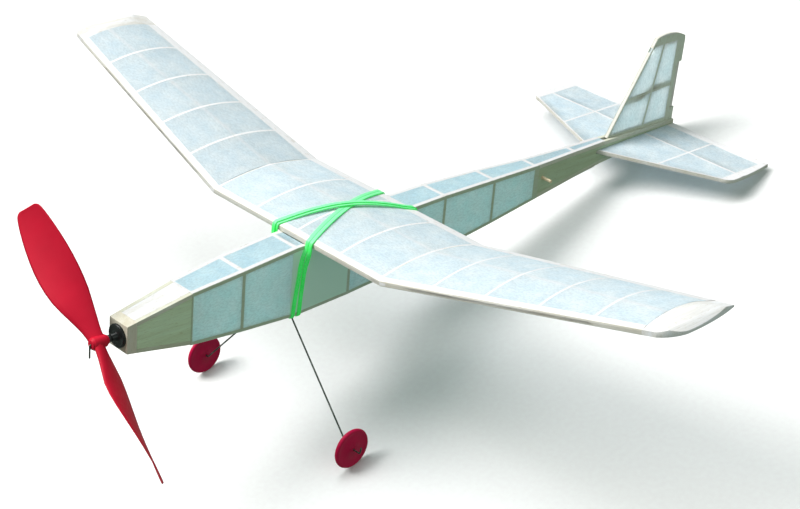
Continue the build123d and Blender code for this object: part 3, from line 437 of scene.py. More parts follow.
def band_rubber(name):
    """Fluorescent green elastic, painted lighter where it faces up as a painted highlight, with a
    powdery bloom and a faint painted glow.
    """
    look = settings()
    graph = Graph(name)
    bloom = graph.noise(graph.place, 0.0015, detail=3)
    slow = graph.noise(graph.place, 0.012)
    base = graph.between(slow, 0.3, 0.7, rgb(look.band_green), rgb(look.band_light))
    surface = graph.node("ShaderNodeNewGeometry")
    facing = graph.node("ShaderNodeSeparateXYZ", {0: surface.outputs["Normal"]})
    # Painted highlight: lighter where the surface faces up, towards the lamps.
    painted_top_highlight = graph.ramp(facing.outputs["Z"], (0.35, 0.0), (0.95, 0.8))
    base = graph.mix(painted_top_highlight, base, rgb(look.band_painted_highlight))
    base = graph.mix(graph.ramp(bloom, (0.5, 0.0), (0.8, 0.10)), base, (0.8, 0.95, 0.85, 1))
    # Its faint emission is a painted glow that lightens the band where it lies in shade.
    rubber = graph.node("ShaderNodeBsdfPrincipled", {
        "Base Color": base, "Roughness": graph.ramp(bloom, (0.3, 0.42), (0.7, 0.6)),
        "Specular IOR Level": 0.3, "Emission Color": base, "Emission Strength": 0.2,
        "Normal": graph.bump(bloom, 0.00003)})
    return graph.finish(rubber.outputs[0])


def strip_rubber(name):
    """Tan motor rubber with a lubricant sheen."""
    graph = Graph(name)
    streak = graph.noise(graph.along((0, 1, 0), 12), 0.0008, detail=3)
    base = graph.between(streak, 0.3, 0.7, (0.42, 0.31, 0.19, 1), (0.58, 0.46, 0.30, 1))
    rubber = graph.node("ShaderNodeBsdfPrincipled", {
        "Base Color": base, "Roughness": graph.ramp(streak, (0.3, 0.25), (0.7, 0.4)),
        "Normal": graph.bump(streak, 0.00005)})
    return graph.finish(rubber.outputs[0])


def spring_wire(name):
    """Blued spring wire, dark green-grey, with drawn streaks and a few worn spots."""
    graph = Graph(name)
    drawn = graph.noise(graph.place, 0.0007, detail=4)
    worn = graph.noise(graph.place, 0.006, detail=3)
    base = graph.between(worn, 0.45, 0.7, (0.085, 0.10, 0.085, 1), (0.26, 0.28, 0.25, 1))
    wire = graph.node("ShaderNodeBsdfPrincipled", {
        "Base Color": base, "Metallic": 0.85,
        "Roughness": graph.ramp(drawn, (0.3, 0.28), (0.7, 0.48)),
        "Normal": graph.bump(drawn, 0.00002)})
    return graph.finish(wire.outputs[0])


def floor_paper(name):
    """Pale seamless paper that runs into the white backdrop further away."""
    look = settings()
    graph = Graph(name)
    grain = graph.noise(graph.place, 0.004, detail=4)
    base = graph.between(grain, 0.3, 0.7, rgb(look.floor_colour), (0.91, 0.90, 0.905, 1))
    paper = graph.node("ShaderNodeBsdfPrincipled", {
        "Base Color": base, "Roughness": 0.9, "Specular IOR Level": 0.1})
    away = graph.node("ShaderNodeVectorMath", {0: graph.place}, operation="LENGTH").outputs["Value"]
    share = graph.node("ShaderNodeMapRange", {
        "Value": away, "From Min": PAPER_ROOM[0], "From Max": PAPER_ROOM[1]},
        interpolation_type="SMOOTHSTEP")
    backdrop = graph.node("ShaderNodeEmission", {"Color": BACKDROP})
    graph.material.cycles.emission_sampling = "NONE"
    both = graph.node("ShaderNodeMixShader", {
        0: share.outputs["Result"], 1: paper.outputs[0], 2: backdrop.outputs[0]})
    return graph.finish(both.outputs[0])


# --------------------------------------------------------------------- mesh help
def piece(name, points, faces, material, floats=None, smooth=True, drawn=True):
    """A new object from points of the drawing, with float attributes per point."""
    mesh = bpy.data.meshes.new(name)
    mesh.from_pydata([tuple(p) for p in points], [], faces)
    for key, values in (floats or {}).items():
        layer = mesh.attributes.new(key, "FLOAT", "POINT")
        layer.data.foreach_set("value", values)
    if drawn:
        mesh.transform(DRAWING)
    mesh.materials.append(material)
    mesh.validate()
    mesh.polygons.foreach_set("use_smooth", [smooth] * len(mesh.polygons))
    made = placed(name, mesh)
    return made


def placed(name, data):
    """A new object in the scene for some data."""
    made = bpy.data.objects.new(name, data)
    bpy.context.collection.objects.link(made)
    return made


def baked(source, name):
    """The evaluated shape of an object as one plain mesh object; the source is removed."""
    bpy.context.view_layer.update()
    depsgraph = bpy.context.evaluated_depsgraph_get()
    mesh = bpy.data.meshes.new_from_object(source.evaluated_get(depsgraph))
    bpy.data.objects.remove(source, do_unlink=True)
    mesh.name = name
    return placed(name, mesh)


def lattice_faces(columns, rows, closed=False, ring=False, first=0, across=False):
    """Quads between points laid column by column.

    closed joins the last column to the first, and ring the last row of a column to its
    first. Each quad starts along its own column, or across to the next one.
    """
    faces = []
    for column in range(columns if closed else columns - 1):
        here, there = first + column * rows, first + (column + 1) % columns * rows
        for row in range(rows if ring else rows - 1):
            after = (row + 1) % rows
            face = (here + row, here + after, there + after, there + row)
            faces.append((face[0], face[3], face[2], face[1]) if across else face)
    return faces


def reversed_faces(faces):
    """The same faces seen from the other side."""
    return [tuple(reversed(face)) for face in faces]


def outward(thing):
    """Merge doubles and turn every face outwards."""
    shape = bmesh.new()
    shape.from_mesh(thing.data)
    bmesh.ops.remove_doubles(shape, verts=shape.verts, dist=1e-6)
    bmesh.ops.recalc_face_normals(shape, faces=shape.faces)
    shape.to_mesh(thing.data)
    shape.free()
    return thing


def sheet_thickness(thing):
    """Give an open skin its own thickness, inwards, with a crisp rim."""
    shape = bmesh.new()
    shape.from_mesh(thing.data)
    for edge in shape.edges:
        if edge.is_boundary:
            edge.smooth = False
    shape.to_mesh(thing.data)
    shape.free()
    solid = thing.modifiers.new("sheet", "SOLIDIFY")
    solid.thickness = TISSUE_SHEET * MM
    solid.offset = -1.0


def hang(skin, node):
    """Give a covering its thickness and put it on the airframe, in place of a frame piece."""
    sheet_thickness(skin)
    if node:
        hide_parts(node)
    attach(skin, "airframe")


def rounded_edges(node, width):
    """Soften the sharp edges of a frame piece with a weld and a small bevel."""
    thing = frame["nodes"][node]
    weld = thing.modifiers.new("weld", "WELD")
    weld.merge_threshold = 0.00001
    bevel = thing.modifiers.new("edges", "BEVEL")
    bevel.width = width * MM
    bevel.segments = 2
    bevel.limit_method = "ANGLE"
    bevel.angle_limit = math.radians(40)


def dress(node, material):
    """Put a finish on a frame piece."""
    data = frame["nodes"][node].data
    data.materials.clear()
    data.materials.append(material)


def lines_between(marks, step):
    """Ascending values that hold every mark, with no gap above step."""
    marks = sorted(set(round(mark, 4) for mark in marks))
    values = [marks[0]]
    for low, high in zip(marks, marks[1:]):
        count = max(1, math.ceil((high - low) / step))
        values += [low + (high - low) * index / count for index in range(1, count + 1)]
    return values


def spaced(start, end, count):
    """Evenly spaced values from start to end."""
    return [start + (end - start) * index / (count - 1) for index in range(count)]


def near(value, centres, half):
    """How far inside a strip a value lies: 1 inside, 0 outside, over a short feather."""
    best = 0.0
    for centre in centres:
        best = max(best, within((half + FEATHER - abs(value - centre)) / FEATHER))
    return best


def strip_marks(centres, half):
    """Grid lines at both edges of each strip, inside and outside the feather."""
    marks = []
    for centre in centres:
        for reach in (half, half + FEATHER):
            marks += [centre - reach, centre + reach]
    return marks


def glue_line(glued):
    """Brown glue line where glued paper ends."""
    return [4 * value * (1 - value) for value in glued]


# ------------------------------------------------------------------------- stage
class AEROPLANE_OT_stage(bpy.types.Operator):
    """Set up the camera, the floor and the soft lights"""
    bl_idname = "aeroplane.stage"
    bl_label = "Camera, floor and lights"

    def execute(self, context):
        look = settings()
        scene = context.scene
        scene.view_settings.view_transform = "Standard"
        self.camera(scene)
        low = min(corner[2] for corner in FRAME_BOX)
        corners = [(x * FLOOR_REACH, y * FLOOR_REACH, low) for x, y in SQUARE]
        floor = piece("floor", corners, [(0, 1, 2, 3)], floor_paper("seamless_paper"),
                      drawn=False)
        floor.visible_diffuse = False
        floor.visible_glossy = False
        self.studio(scene)
        for name, seat, size, strength, colour in LAMPS:
            self.lamp(scene, name, Vector(seat), size, getattr(look, strength), colour)
        return {"FINISHED"}

    def studio(self, scene):
        """Soft light from all round, in front of a white backdrop."""
        look = settings()
        world = bpy.data.worlds.new("studio")
        scene.world = world
        world.use_nodes = True
        tree = world.node_tree
        fill = tree.nodes["Background"]
        fill.inputs["Color"].default_value = rgb(look.fill_colour)
        fill.inputs["Strength"].default_value = look.fill_strength
        backdrop = tree.nodes.new("ShaderNodeBackground")
        backdrop.inputs["Color"].default_value = BACKDROP
        seen = tree.nodes.new("ShaderNodeLightPath")
        both = tree.nodes.new("ShaderNodeMixShader")
        tree.links.new(seen.outputs["Is Camera Ray"], both.inputs[0])
        tree.links.new(fill.outputs[0], both.inputs[1])
        tree.links.new(backdrop.outputs[0], both.inputs[2])
        tree.links.new(both.outputs[0], tree.nodes["World Output"].inputs["Surface"])

    def camera(self, scene):
        data = bpy.data.cameras.new("camera")
        data.lens = LENS
        data.sensor_width = 36.0
        data.clip_start = 0.05
        data.clip_end = 30
        turn = DRAWING.to_3x3() * (1 / MM)
        ahead = (turn @ Vector(CAMERA_AHEAD)).normalized()
        side = (turn @ Vector(CAMERA_RIGHT)).normalized()
        above = side.cross(ahead).normalized()
        aim = Matrix((side, above, -ahead)).transposed().to_4x4()
        made = bpy.data.objects.new("camera", data)
        made.matrix_world = Matrix.Translation(DRAWING @ Vector(CAMERA_SEAT)) @ aim
        scene.collection.objects.link(made)
        scene.camera = made

    def lamp(self, scene, name, seat, size, strength, colour):
        data = bpy.data.lights.new(name, "AREA")
        data.shape = "DISK"
        data.size = size
        data.energy = strength
        data.color = colour
        made = bpy.data.objects.new(name, data)
        made.location = seat
        made.rotation_euler = (Vector(LAMP_TARGET) - seat).to_track_quat("-Z", "Y").to_euler()
        scene.collection.objects.link(made)


# -------------------------------------------------------------------------- wood
def drawn_direction(x, y, z):
    """A direction of the drawing in the standing frame."""
    return (DRAWING.to_3x3() @ Vector((x, y, z))).normalized()


GRAIN_AFT = drawn_direction(0, 1, 0)
GRAIN_UP = drawn_direction(0, 0, 1)
GRAIN_SPAN = Vector((1, 0, 0))
GRAIN_PORT = drawn_direction(math.cos(DIHEDRAL), 0, math.sin(DIHEDRAL))
GRAIN_STARBOARD = drawn_direction(-math.cos(DIHEDRAL), 0, math.sin(DIHEDRAL))
FIN_LE_GRAIN = drawn_direction(0, 50, 77)
FIN_TE_GRAIN = drawn_direction(0, 3, 75)

WOOD_GRAIN = {
    "bottom_longerons": GRAIN_AFT, "top_longerons": GRAIN_AFT,
    "nose_cheeks": GRAIN_AFT, "nose_top_sheet": GRAIN_AFT, "nose_bottom_sheet": GRAIN_AFT,
    "saddle_panels": GRAIN_AFT, "tail_sheets": GRAIN_AFT,
    "top_crosspieces": GRAIN_SPAN, "bottom_crosspieces": GRAIN_SPAN,
    "uprights_port": GRAIN_UP, "uprights_starboard": GRAIN_UP, "nose_block": GRAIN_UP,
    "fin_base": GRAIN_AFT, "fin_rib": GRAIN_AFT, "fin_tip": GRAIN_AFT,
    "fin_leading_edge": FIN_LE_GRAIN, "fin_spar": FIN_LE_GRAIN,
    "fin_trailing_edge": FIN_TE_GRAIN, "trim_tab": FIN_TE_GRAIN,
    "stab_leading_edges": GRAIN_SPAN, "stab_spar": GRAIN_SPAN, "stab_trailing_edge": GRAIN_SPAN,
    "stab_ribs": GRAIN_AFT, "stab_tip_port": GRAIN_AFT, "stab_tip_starboard": GRAIN_AFT,
    "wing_ribs_centre": GRAIN_AFT, "wing_ribs_port": GRAIN_AFT, "wing_ribs_starboard": GRAIN_AFT,
    "wing_tip_port": GRAIN_AFT, "wing_tip_starboard": GRAIN_AFT,
    "wing_leading_edge_centre": GRAIN_SPAN, "wing_trailing_edge_centre": GRAIN_SPAN,
    "wing_spar_centre": GRAIN_SPAN,
    "wing_leading_edge_port": GRAIN_PORT, "wing_trailing_edge_port": GRAIN_PORT,
    "wing_spar_port": GRAIN_PORT, "wing_leading_edge_starboard": GRAIN_STARBOARD,
    "wing_trailing_edge_starboard": GRAIN_STARBOARD, "wing_spar_starboard": GRAIN_STARBOARD,
}

GRAIN_SHIFT = 0.37         # so that no two pieces show the same part of the grain

# Tints laid over single pieces of wood. The greener, darker ones of the nose cheeks, saddle panels,
# tail sheets and longerons are painted shade of the shaded sides and underside. The lighter, bluer
# ones of the nose top sheet and the wing tips, the port tip most, are painted light on their lit
# tops.
WOOD_LIGHT_AND_SHADE_TINT = {
    "nose_cheeks": (0.86, 1.09, 0.82), "saddle_panels": (0.86, 0.98, 0.84),
    "tail_sheets": (0.66, 0.82, 0.61),
    "top_longerons": (0.88, 0.91, 0.83), "bottom_longerons": (0.78, 0.84, 0.70),
    "nose_block": (0.88, 0.86, 0.77), "nose_top_sheet": (1.0, 1.03, 1.13),
    "wing_tip_port": (1.08, 1.10, 1.20), "wing_tip_starboard": (1.0, 1.01, 1.08),
}


class AEROPLANE_OT_wood(bpy.types.Operator):
    """Finish every strip, sheet and block of wood, each with its own run of grain"""
    bl_idname = "aeroplane.wood"
    bl_label = "Wooden structure"

    def execute(self, context):
        look = settings()
        for index, (node, grain) in enumerate(sorted(WOOD_GRAIN.items())):
            # For some pieces this tint is painted shade or painted light.
            light_and_shade_tint = WOOD_LIGHT_AND_SHADE_TINT.get(node, (1.0, 1.0, 1.0))
            dress(node, balsa(f"balsa_{node}", grain, GRAIN_SHIFT * index, light_and_shade_tint))
            rounded_edges(node, look.wood_edge / MM)
        for node in ("gear_plate", "dihedral_braces"):
            dress(node, dowel_wood(f"plywood_{node}", GRAIN_SPAN))
        dress("motor_peg", dowel_wood("birch_dowel", GRAIN_SPAN))
        rounded_edges("motor_peg", 0.3)
        return {"FINISHED"}


# ---------------------------------------------------------------- wing covering
def circle_through(a, b, c):
    """Centre and radius of the circle through three points of a plane."""
    ax, ay, bx, by, cx, cy = *a, *b, *c
    d = 2 * (ax * (by - cy) + bx * (cy - ay) + cx * (ay - by))
    aa, bb, cc = ax**2 + ay**2, bx**2 + by**2, cx**2 + cy**2
    x = (aa * (by - cy) + bb * (cy - ay) + cc * (ay - by)) / d
    y = (aa * (cx - bx) + bb * (ax - cx) + cc * (bx - ax)) / d
    return x, y, math.hypot(ax - x, ay - y)


def corner_arc(corner, before, after, radius, count):
    """Points round a corner, on a quadratic curve that starts radius before it."""
    corner, before, after = Vector(corner), Vector(before), Vector(after)
    start = corner + (before - corner).normalized() * radius
    end = corner + (after - corner).normalized() * radius
    points = []
    for index in range(count + 1):
        t = index / count
        points.append(start * (1 - t) ** 2 + corner * 2 * t * (1 - t) + end * t**2)
    return points


def wing_outline(nose, crest):
    """Section of the covering from the trailing edge, underneath, round the nose and back.

    Each entry is (aft, up, glued, sag): sag is 1 in the middle of free paper above,
    and -1 underneath.
    """
    skin = TISSUE
    te_start = CHORD - TE_WIDTH
    le_end = nose + LE_WIDTH
    x, y, radius = circle_through(
        (le_end, LE_TOP + skin), (nose + CREST_SHARE * (CHORD - nose), crest + skin),
        (te_start, TE_TOP + skin))
    low_te, high_te = (CHORD, -skin), (CHORD, TE_EDGE + skin)
    low_le, high_le = (nose, -skin), (nose, LE_FACE + skin)
    rows = [(*p, 1, 0) for p in corner_arc(low_te, high_te, (0, -skin), 0.7, 3)]
    rows += [(te_start + FEATHER, -skin, 1, 0)]
    for aft in spaced(te_start, le_end, 10):
        share = (aft - le_end) / (te_start - le_end)
        rows.append((aft, -skin, 0, -math.sin(math.pi * share)))
    rows += [(le_end - FEATHER, -skin, 1, 0)]
    rows += [(*p, 1, 0) for p in corner_arc(low_le, (CHORD, -skin), high_le, 0.9, 3)]
    rows += [(*p, 1, 0) for p in corner_arc(high_le, low_le, (le_end, LE_TOP + skin), 1.5, 4)]
    rows += [(le_end - FEATHER, LE_TOP + skin - 0.08, 1, 0)]
    spar_lines = [SPAR_LINE + step for step in (-2.6, -0.8, 0.8)]
    above = spaced(le_end, spar_lines[0], 8) + spar_lines[1:] + spaced(SPAR_LINE + 2.6, te_start, 8)
    for aft in above:
        fore, rear = (le_end, SPAR_LINE) if aft < SPAR_LINE else (SPAR_LINE, te_start)
        sag = max(0.001, math.sin(math.pi * (aft - fore) / (rear - fore)) - 0.08)
        rows.append((aft, y + math.sqrt(radius**2 - (aft - x) ** 2), 0, sag))
    rows += [(te_start + FEATHER, TE_TOP + skin - 0.09, 1, 0)]
    rows += [(*p, 1, 0) for p in corner_arc(high_te, (te_start, TE_TOP + skin), low_te, 0.7, 3)]
    return rows


def wing_skin(name, slope, side, start, end, ribs, taper, crests, mitred, material):
    """Covering of one wing panel: a closed sleeve with a sag in each bay."""
    look = settings()
    marks = [start, end] + strip_marks(ribs, RIB / 2)
    outs = [out for out in lines_between(marks, 5.5) if start <= out <= end]
    fences = sorted(set([start] + list(ribs) + [end]))
    points, glued_values, lines = [], [], []
    for out in outs:
        bay = max((fence for fence in fences if fence <= out + 1e-6), default=start)
        following = min((fence for fence in fences if fence > out + 1e-6), default=end)
        share = 0.0 if following == bay else (out - bay) / (following - bay)
        dip = 4 * share * (1 - share)
        rib = near(out, ribs, RIB / 2)
        crest = crests[0] + (crests[1] - crests[0]) * abs(out) / TIP_START if taper else crests[0]
        for aft, up, glued, sag in wing_outline(taper * out, crest):
            amount = look.tissue_sag / MM * dip * abs(sag)
            up += -amount if sag > 0 else 0.4 * amount
            spar = SPAR_SHOW * max(0.0, 1 - abs(aft - SPAR_LINE) / 2.2) if sag > 0 else 0.0
            mitre = up * math.tan(slope / 2) * (1 if taper else -1) if out in mitred else 0.0
            along = out + (mitre if out >= 0 else -mitre)
            points.append((along, aft, up))
            glued_values.append(max(glued, rib, spar))
            lines.append(glue_line([max(glued, rib)])[0])
    faces = lattice_faces(len(outs), len(wing_outline(0, CREST)), ring=True, across=True)
    standing = []
    for along, aft, up in points:
        if taper:
            x = BREAK_X + along * math.cos(slope) - up * math.sin(slope)
            z = along * math.sin(slope) + up * math.cos(slope)
        else:
            x, z = along, up
        standing.append((side * x, WING_LE + aft, WING_Z + z))
    if side < 0:
        faces = reversed_faces(faces)
    return piece(name, standing, faces, material,
                 {"glued": glued_values, "glue_line": lines})


class AEROPLANE_OT_wing_covering(bpy.types.Operator):
    """Cover the three wing panels with tissue that sags a little in each bay"""
    bl_idname = "aeroplane.wing_covering"
    bl_label = "Wing covering"

    def execute(self, context):
        look = settings()
        inner = [-BREAK_RIB, -CENTRE_BAY, 0.0, CENTRE_BAY, BREAK_RIB]
        outer = [OUTER_BAY * bay for bay in (1, 2, 3, 4)]
        ends, falling = (-BREAK_X, BREAK_X), (CREST, TIP_CREST)
        panels = (
            ("centre", 1, *ends, inner, 0, (CREST, CREST), ends, GRAIN_SPAN),
            ("port", 1, 0.0, TIP_START, outer, TAPER, falling, (0.0,), GRAIN_PORT),
            ("starboard", -1, 0.0, TIP_START, outer, TAPER, falling, (0.0,), GRAIN_STARBOARD),
        )
        for label, side, start, end, ribs, taper, crests, mitred, grain in panels:
            # The starboard panel's tissue is darkened: painted shade.
            shade = STARBOARD_PAINTED_SHADE if label == "starboard" else 1.0
            paper = tissue_paper(f"tissue_wing_{label}", grain, rgb(look.wing_blue, shade),
                                 rgb(look.wing_pale, shade), glued_colour=WING_STRIPS)
            skin = wing_skin(f"wing_covering_{label}", DIHEDRAL, side, start, end, ribs, taper,
                             crests, mitred, paper)
            hang(outward(skin), f"wing_tissue_{label}")
        return {"FINISHED"}


# ------------------------------------------------------------ fuselage covering
def drawn_points(node):
    """The corners of a frame piece, on the drawing."""
    back = DRAWING.inverted()
    return [back @ vertex.co for vertex in frame["nodes"][node].data.vertices]


def fuselage_stations():
    """(length, half width, top, bottom) of the bare frame, read off the longerons."""
    top, bottom = drawn_points("top_longerons"), drawn_points("bottom_longerons")
    lengths = sorted(set(round(p.y, 1) for p in top))
    stations = []
    for length in lengths:
        above = [p for p in top if abs(p.y - length) < 0.1]
        below = [p for p in bottom if abs(p.y - length) < 0.1]
        stations.append((length, max(abs(p.x) for p in above), max(p.z for p in above),
                         min(p.z for p in below)))
    return stations


def station_at(stations, length):
    """Straight-line section of the fuselage at a length from the nose."""
    for fore, aft in zip(stations, stations[1:]):
        if fore[0] <= length <= aft[0]:
            share = (length - fore[0]) / (aft[0] - fore[0])
            return [a + (b - a) * share for a, b in zip(fore[1:], aft[1:])]
    raise ValueError(f"no section at {length}")


class AEROPLANE_OT_fuselage_covering(bpy.types.Operator):
    """Cover the sides, the top and the bottom of the fuselage with tissue"""
    bl_idname = "aeroplane.fuselage_covering"
    bl_label = "Fuselage covering"

    def execute(self, context):
        look = settings()
        # On the sides the tissue colours, the glued strips and the saddle board all carry painted
        # shade.
        side_paper = tissue_paper("tissue_sides", GRAIN_AFT, look.side_shade_blue, look.side_shade_pale,
                                  line=0.75, glued_colour=SIDE_STRIPS_SHADE, glow=0.53,
                                  board_colour=SIDE_BOARD_SHADE)
        top_paper = tissue_paper("tissue_top", GRAIN_AFT, look.tissue_blue, look.tissue_pale)
        stations = fuselage_stations()
        wing_end = WING_LE + CHORD
        sheets = (
            ("side_port", "side", COVER_START, SIDE_COVER_END, 1, "tissue_sides"),
            ("side_starboard", "side", COVER_START, SIDE_COVER_END, -1, None),
            ("top_front", "top", COVER_START, WING_LE - WING_MARGIN, 1, "tissue_top"),
            ("top_rear", "top", wing_end + WING_MARGIN, TOP_COVER_END, 1, None),
            ("bottom", "bottom", COVER_START, STAB_LE, -1, "tissue_bottom"),
        )
        for label, face, start, end, side, node in sheets:
            paper = side_paper if face == "side" else top_paper
            hang(self.sheet(label, face, start, end, side, stations, paper), node)
        return {"FINISHED"}

    def sheet(self, label, face, start, end, side, stations, paper):
        look = settings()
        cross = {"side": UPRIGHTS, "top": TOP_CROSSPIECES, "bottom": BOTTOM_CROSSPIECES}[face]
        half_strip = SIDE_STRIP / 2 if face == "side" else STRIP / 2
        marks = [start, end] + [s[0] for s in stations] + strip_marks(cross, half_strip)
        boards = [(start, NOSE_SHEET_END)]
        saddle = (GEAR_STATION - GEAR_STRIP / 2, SADDLE_END) if face == "side" else (start, start)
        if face == "side":
            boards += [(PEG_STATION - STRIP / 2, end)]
        marks += [edge + side_step for low, high in boards + [saddle] for edge in (low, high)
                  for side_step in (-FEATHER, 0.0, FEATHER)]
        lengths = lines_between([mark for mark in marks if start <= mark <= end], 7.0)
        fences = sorted(set([start] + [c for c in cross if start < c < end] + [end]))
        points, values, lines, seated = [], [], [], []
        share_steps = self.shares()
        rim_width = SIDE_STRIP if face == "side" else STRIP
        for y in lengths:
            half, top, bottom = station_at(stations, y)
            width = top - bottom if face == "side" else 2 * half
            fore = max((f for f in fences if f <= y + 1e-6), default=start)
            following = min((f for f in fences if f > y + 1e-6), default=end)
            bay = 0.0 if following == fore else (y - fore) / (following - fore)
            strip = near(y, cross, half_strip)
            board = max(near(y, [(low + high) / 2], (high - low) / 2) for low, high in boards)
            on_saddle = 0.0
            if face == "side":
                on_saddle = near(y, [sum(saddle) / 2], (saddle[1] - saddle[0]) / 2)
            for across in self.across(width, share_steps, rim_width):
                rim = min(across, width - across)
                strip_here = max(strip, within((rim_width + FEATHER - rim) / FEATHER))
                glued = max(strip_here, board)
                wide = width > 2 * STRIP + 1
                share = within((rim - STRIP) / (width / 2 - STRIP)) if wide else 0.0
                free = 1 - max(strip, board, on_saddle)
                sink = 4 * bay * (1 - bay) * share * (2 - share) * free
                dip = 0.6 * look.tissue_sag / MM * sink
                if face == "side":
                    points.append((side * (half + TISSUE - dip), y, bottom + across))
                elif face == "top":
                    points.append((across - half, y, top + TISSUE - dip))
                else:
                    points.append((across - half, y, bottom - TISSUE + dip))
                values.append(glued)
                lines += glue_line([glued])
                seated.append(on_saddle)
        faces = lattice_faces(len(lengths), len(share_steps))
        if (face == "side") != (side < 0):
            faces = reversed_faces(faces)
        return piece(f"fuselage_covering_{label}", points, faces, paper,
                     {"glued": values, "glue_line": lines, "board": seated})

    def shares(self):
        """Names of the places across a sheet: strips at both rims, free paper between."""
        inner = [index / 6 for index in range(1, 6)]
        return ["0", "rim", "rim_out", *inner, "far_out", "far", "1"]

    def across(self, width, steps, rim):
        places = {"0": 0.0, "rim": rim, "rim_out": rim + FEATHER, "far_out": width - rim - FEATHER,
                  "far": width - rim, "1": width}
        inner = width - 2 * (rim + FEATHER)
        if inner < 1.0:
            return [width * index / (len(steps) - 1) for index in range(len(steps))]
        return [places[s] if isinstance(s, str) else rim + FEATHER + inner * s for s in steps]


# ---------------------------------------------------------------- tail covering
def lattice(name, columns, paper, flip):
    """A sheet through columns of (point, glued), each column with as many rows."""
    points = [point for column in columns for point, glued in column]
    values = [glued for column in columns for point, glued in column]
    faces = lattice_faces(len(columns), len(columns[0]))
    if flip:
        faces = reversed_faces(faces)
    made = piece(name, points, faces, paper,
                 {"glued": values, "glue_line": glue_line(values)})
    shape = bmesh.new()
    shape.from_mesh(made.data)
    bmesh.ops.remove_doubles(shape, verts=shape.verts, dist=2e-6)
    bmesh.ops.dissolve_degenerate(shape, edges=shape.edges, dist=2e-6)
    shape.to_mesh(made.data)
    shape.free()
    return made


def strip_rows(low, high, fore, aft, crossings):
    """Places across a sheet with a strip at each edge and others between, and how glued each is."""
    marks = [(low, 1), (low + fore, 1), (low + fore + FEATHER, 0)]
    last = low + fore + FEATHER
    for centre in crossings:
        marks += [(place, 0) for place in spaced(last, centre - TAIL_STRIP / 2 - FEATHER, 4)[1:]]
        last = centre + TAIL_STRIP / 2 + FEATHER
        marks += [(centre - TAIL_STRIP / 2, 1), (centre + TAIL_STRIP / 2, 1), (last, 0)]
    marks += [(place, 0) for place in spaced(last, high - aft - FEATHER, 5)[1:]]
    return marks + [(high - aft, 1), (high, 1)]


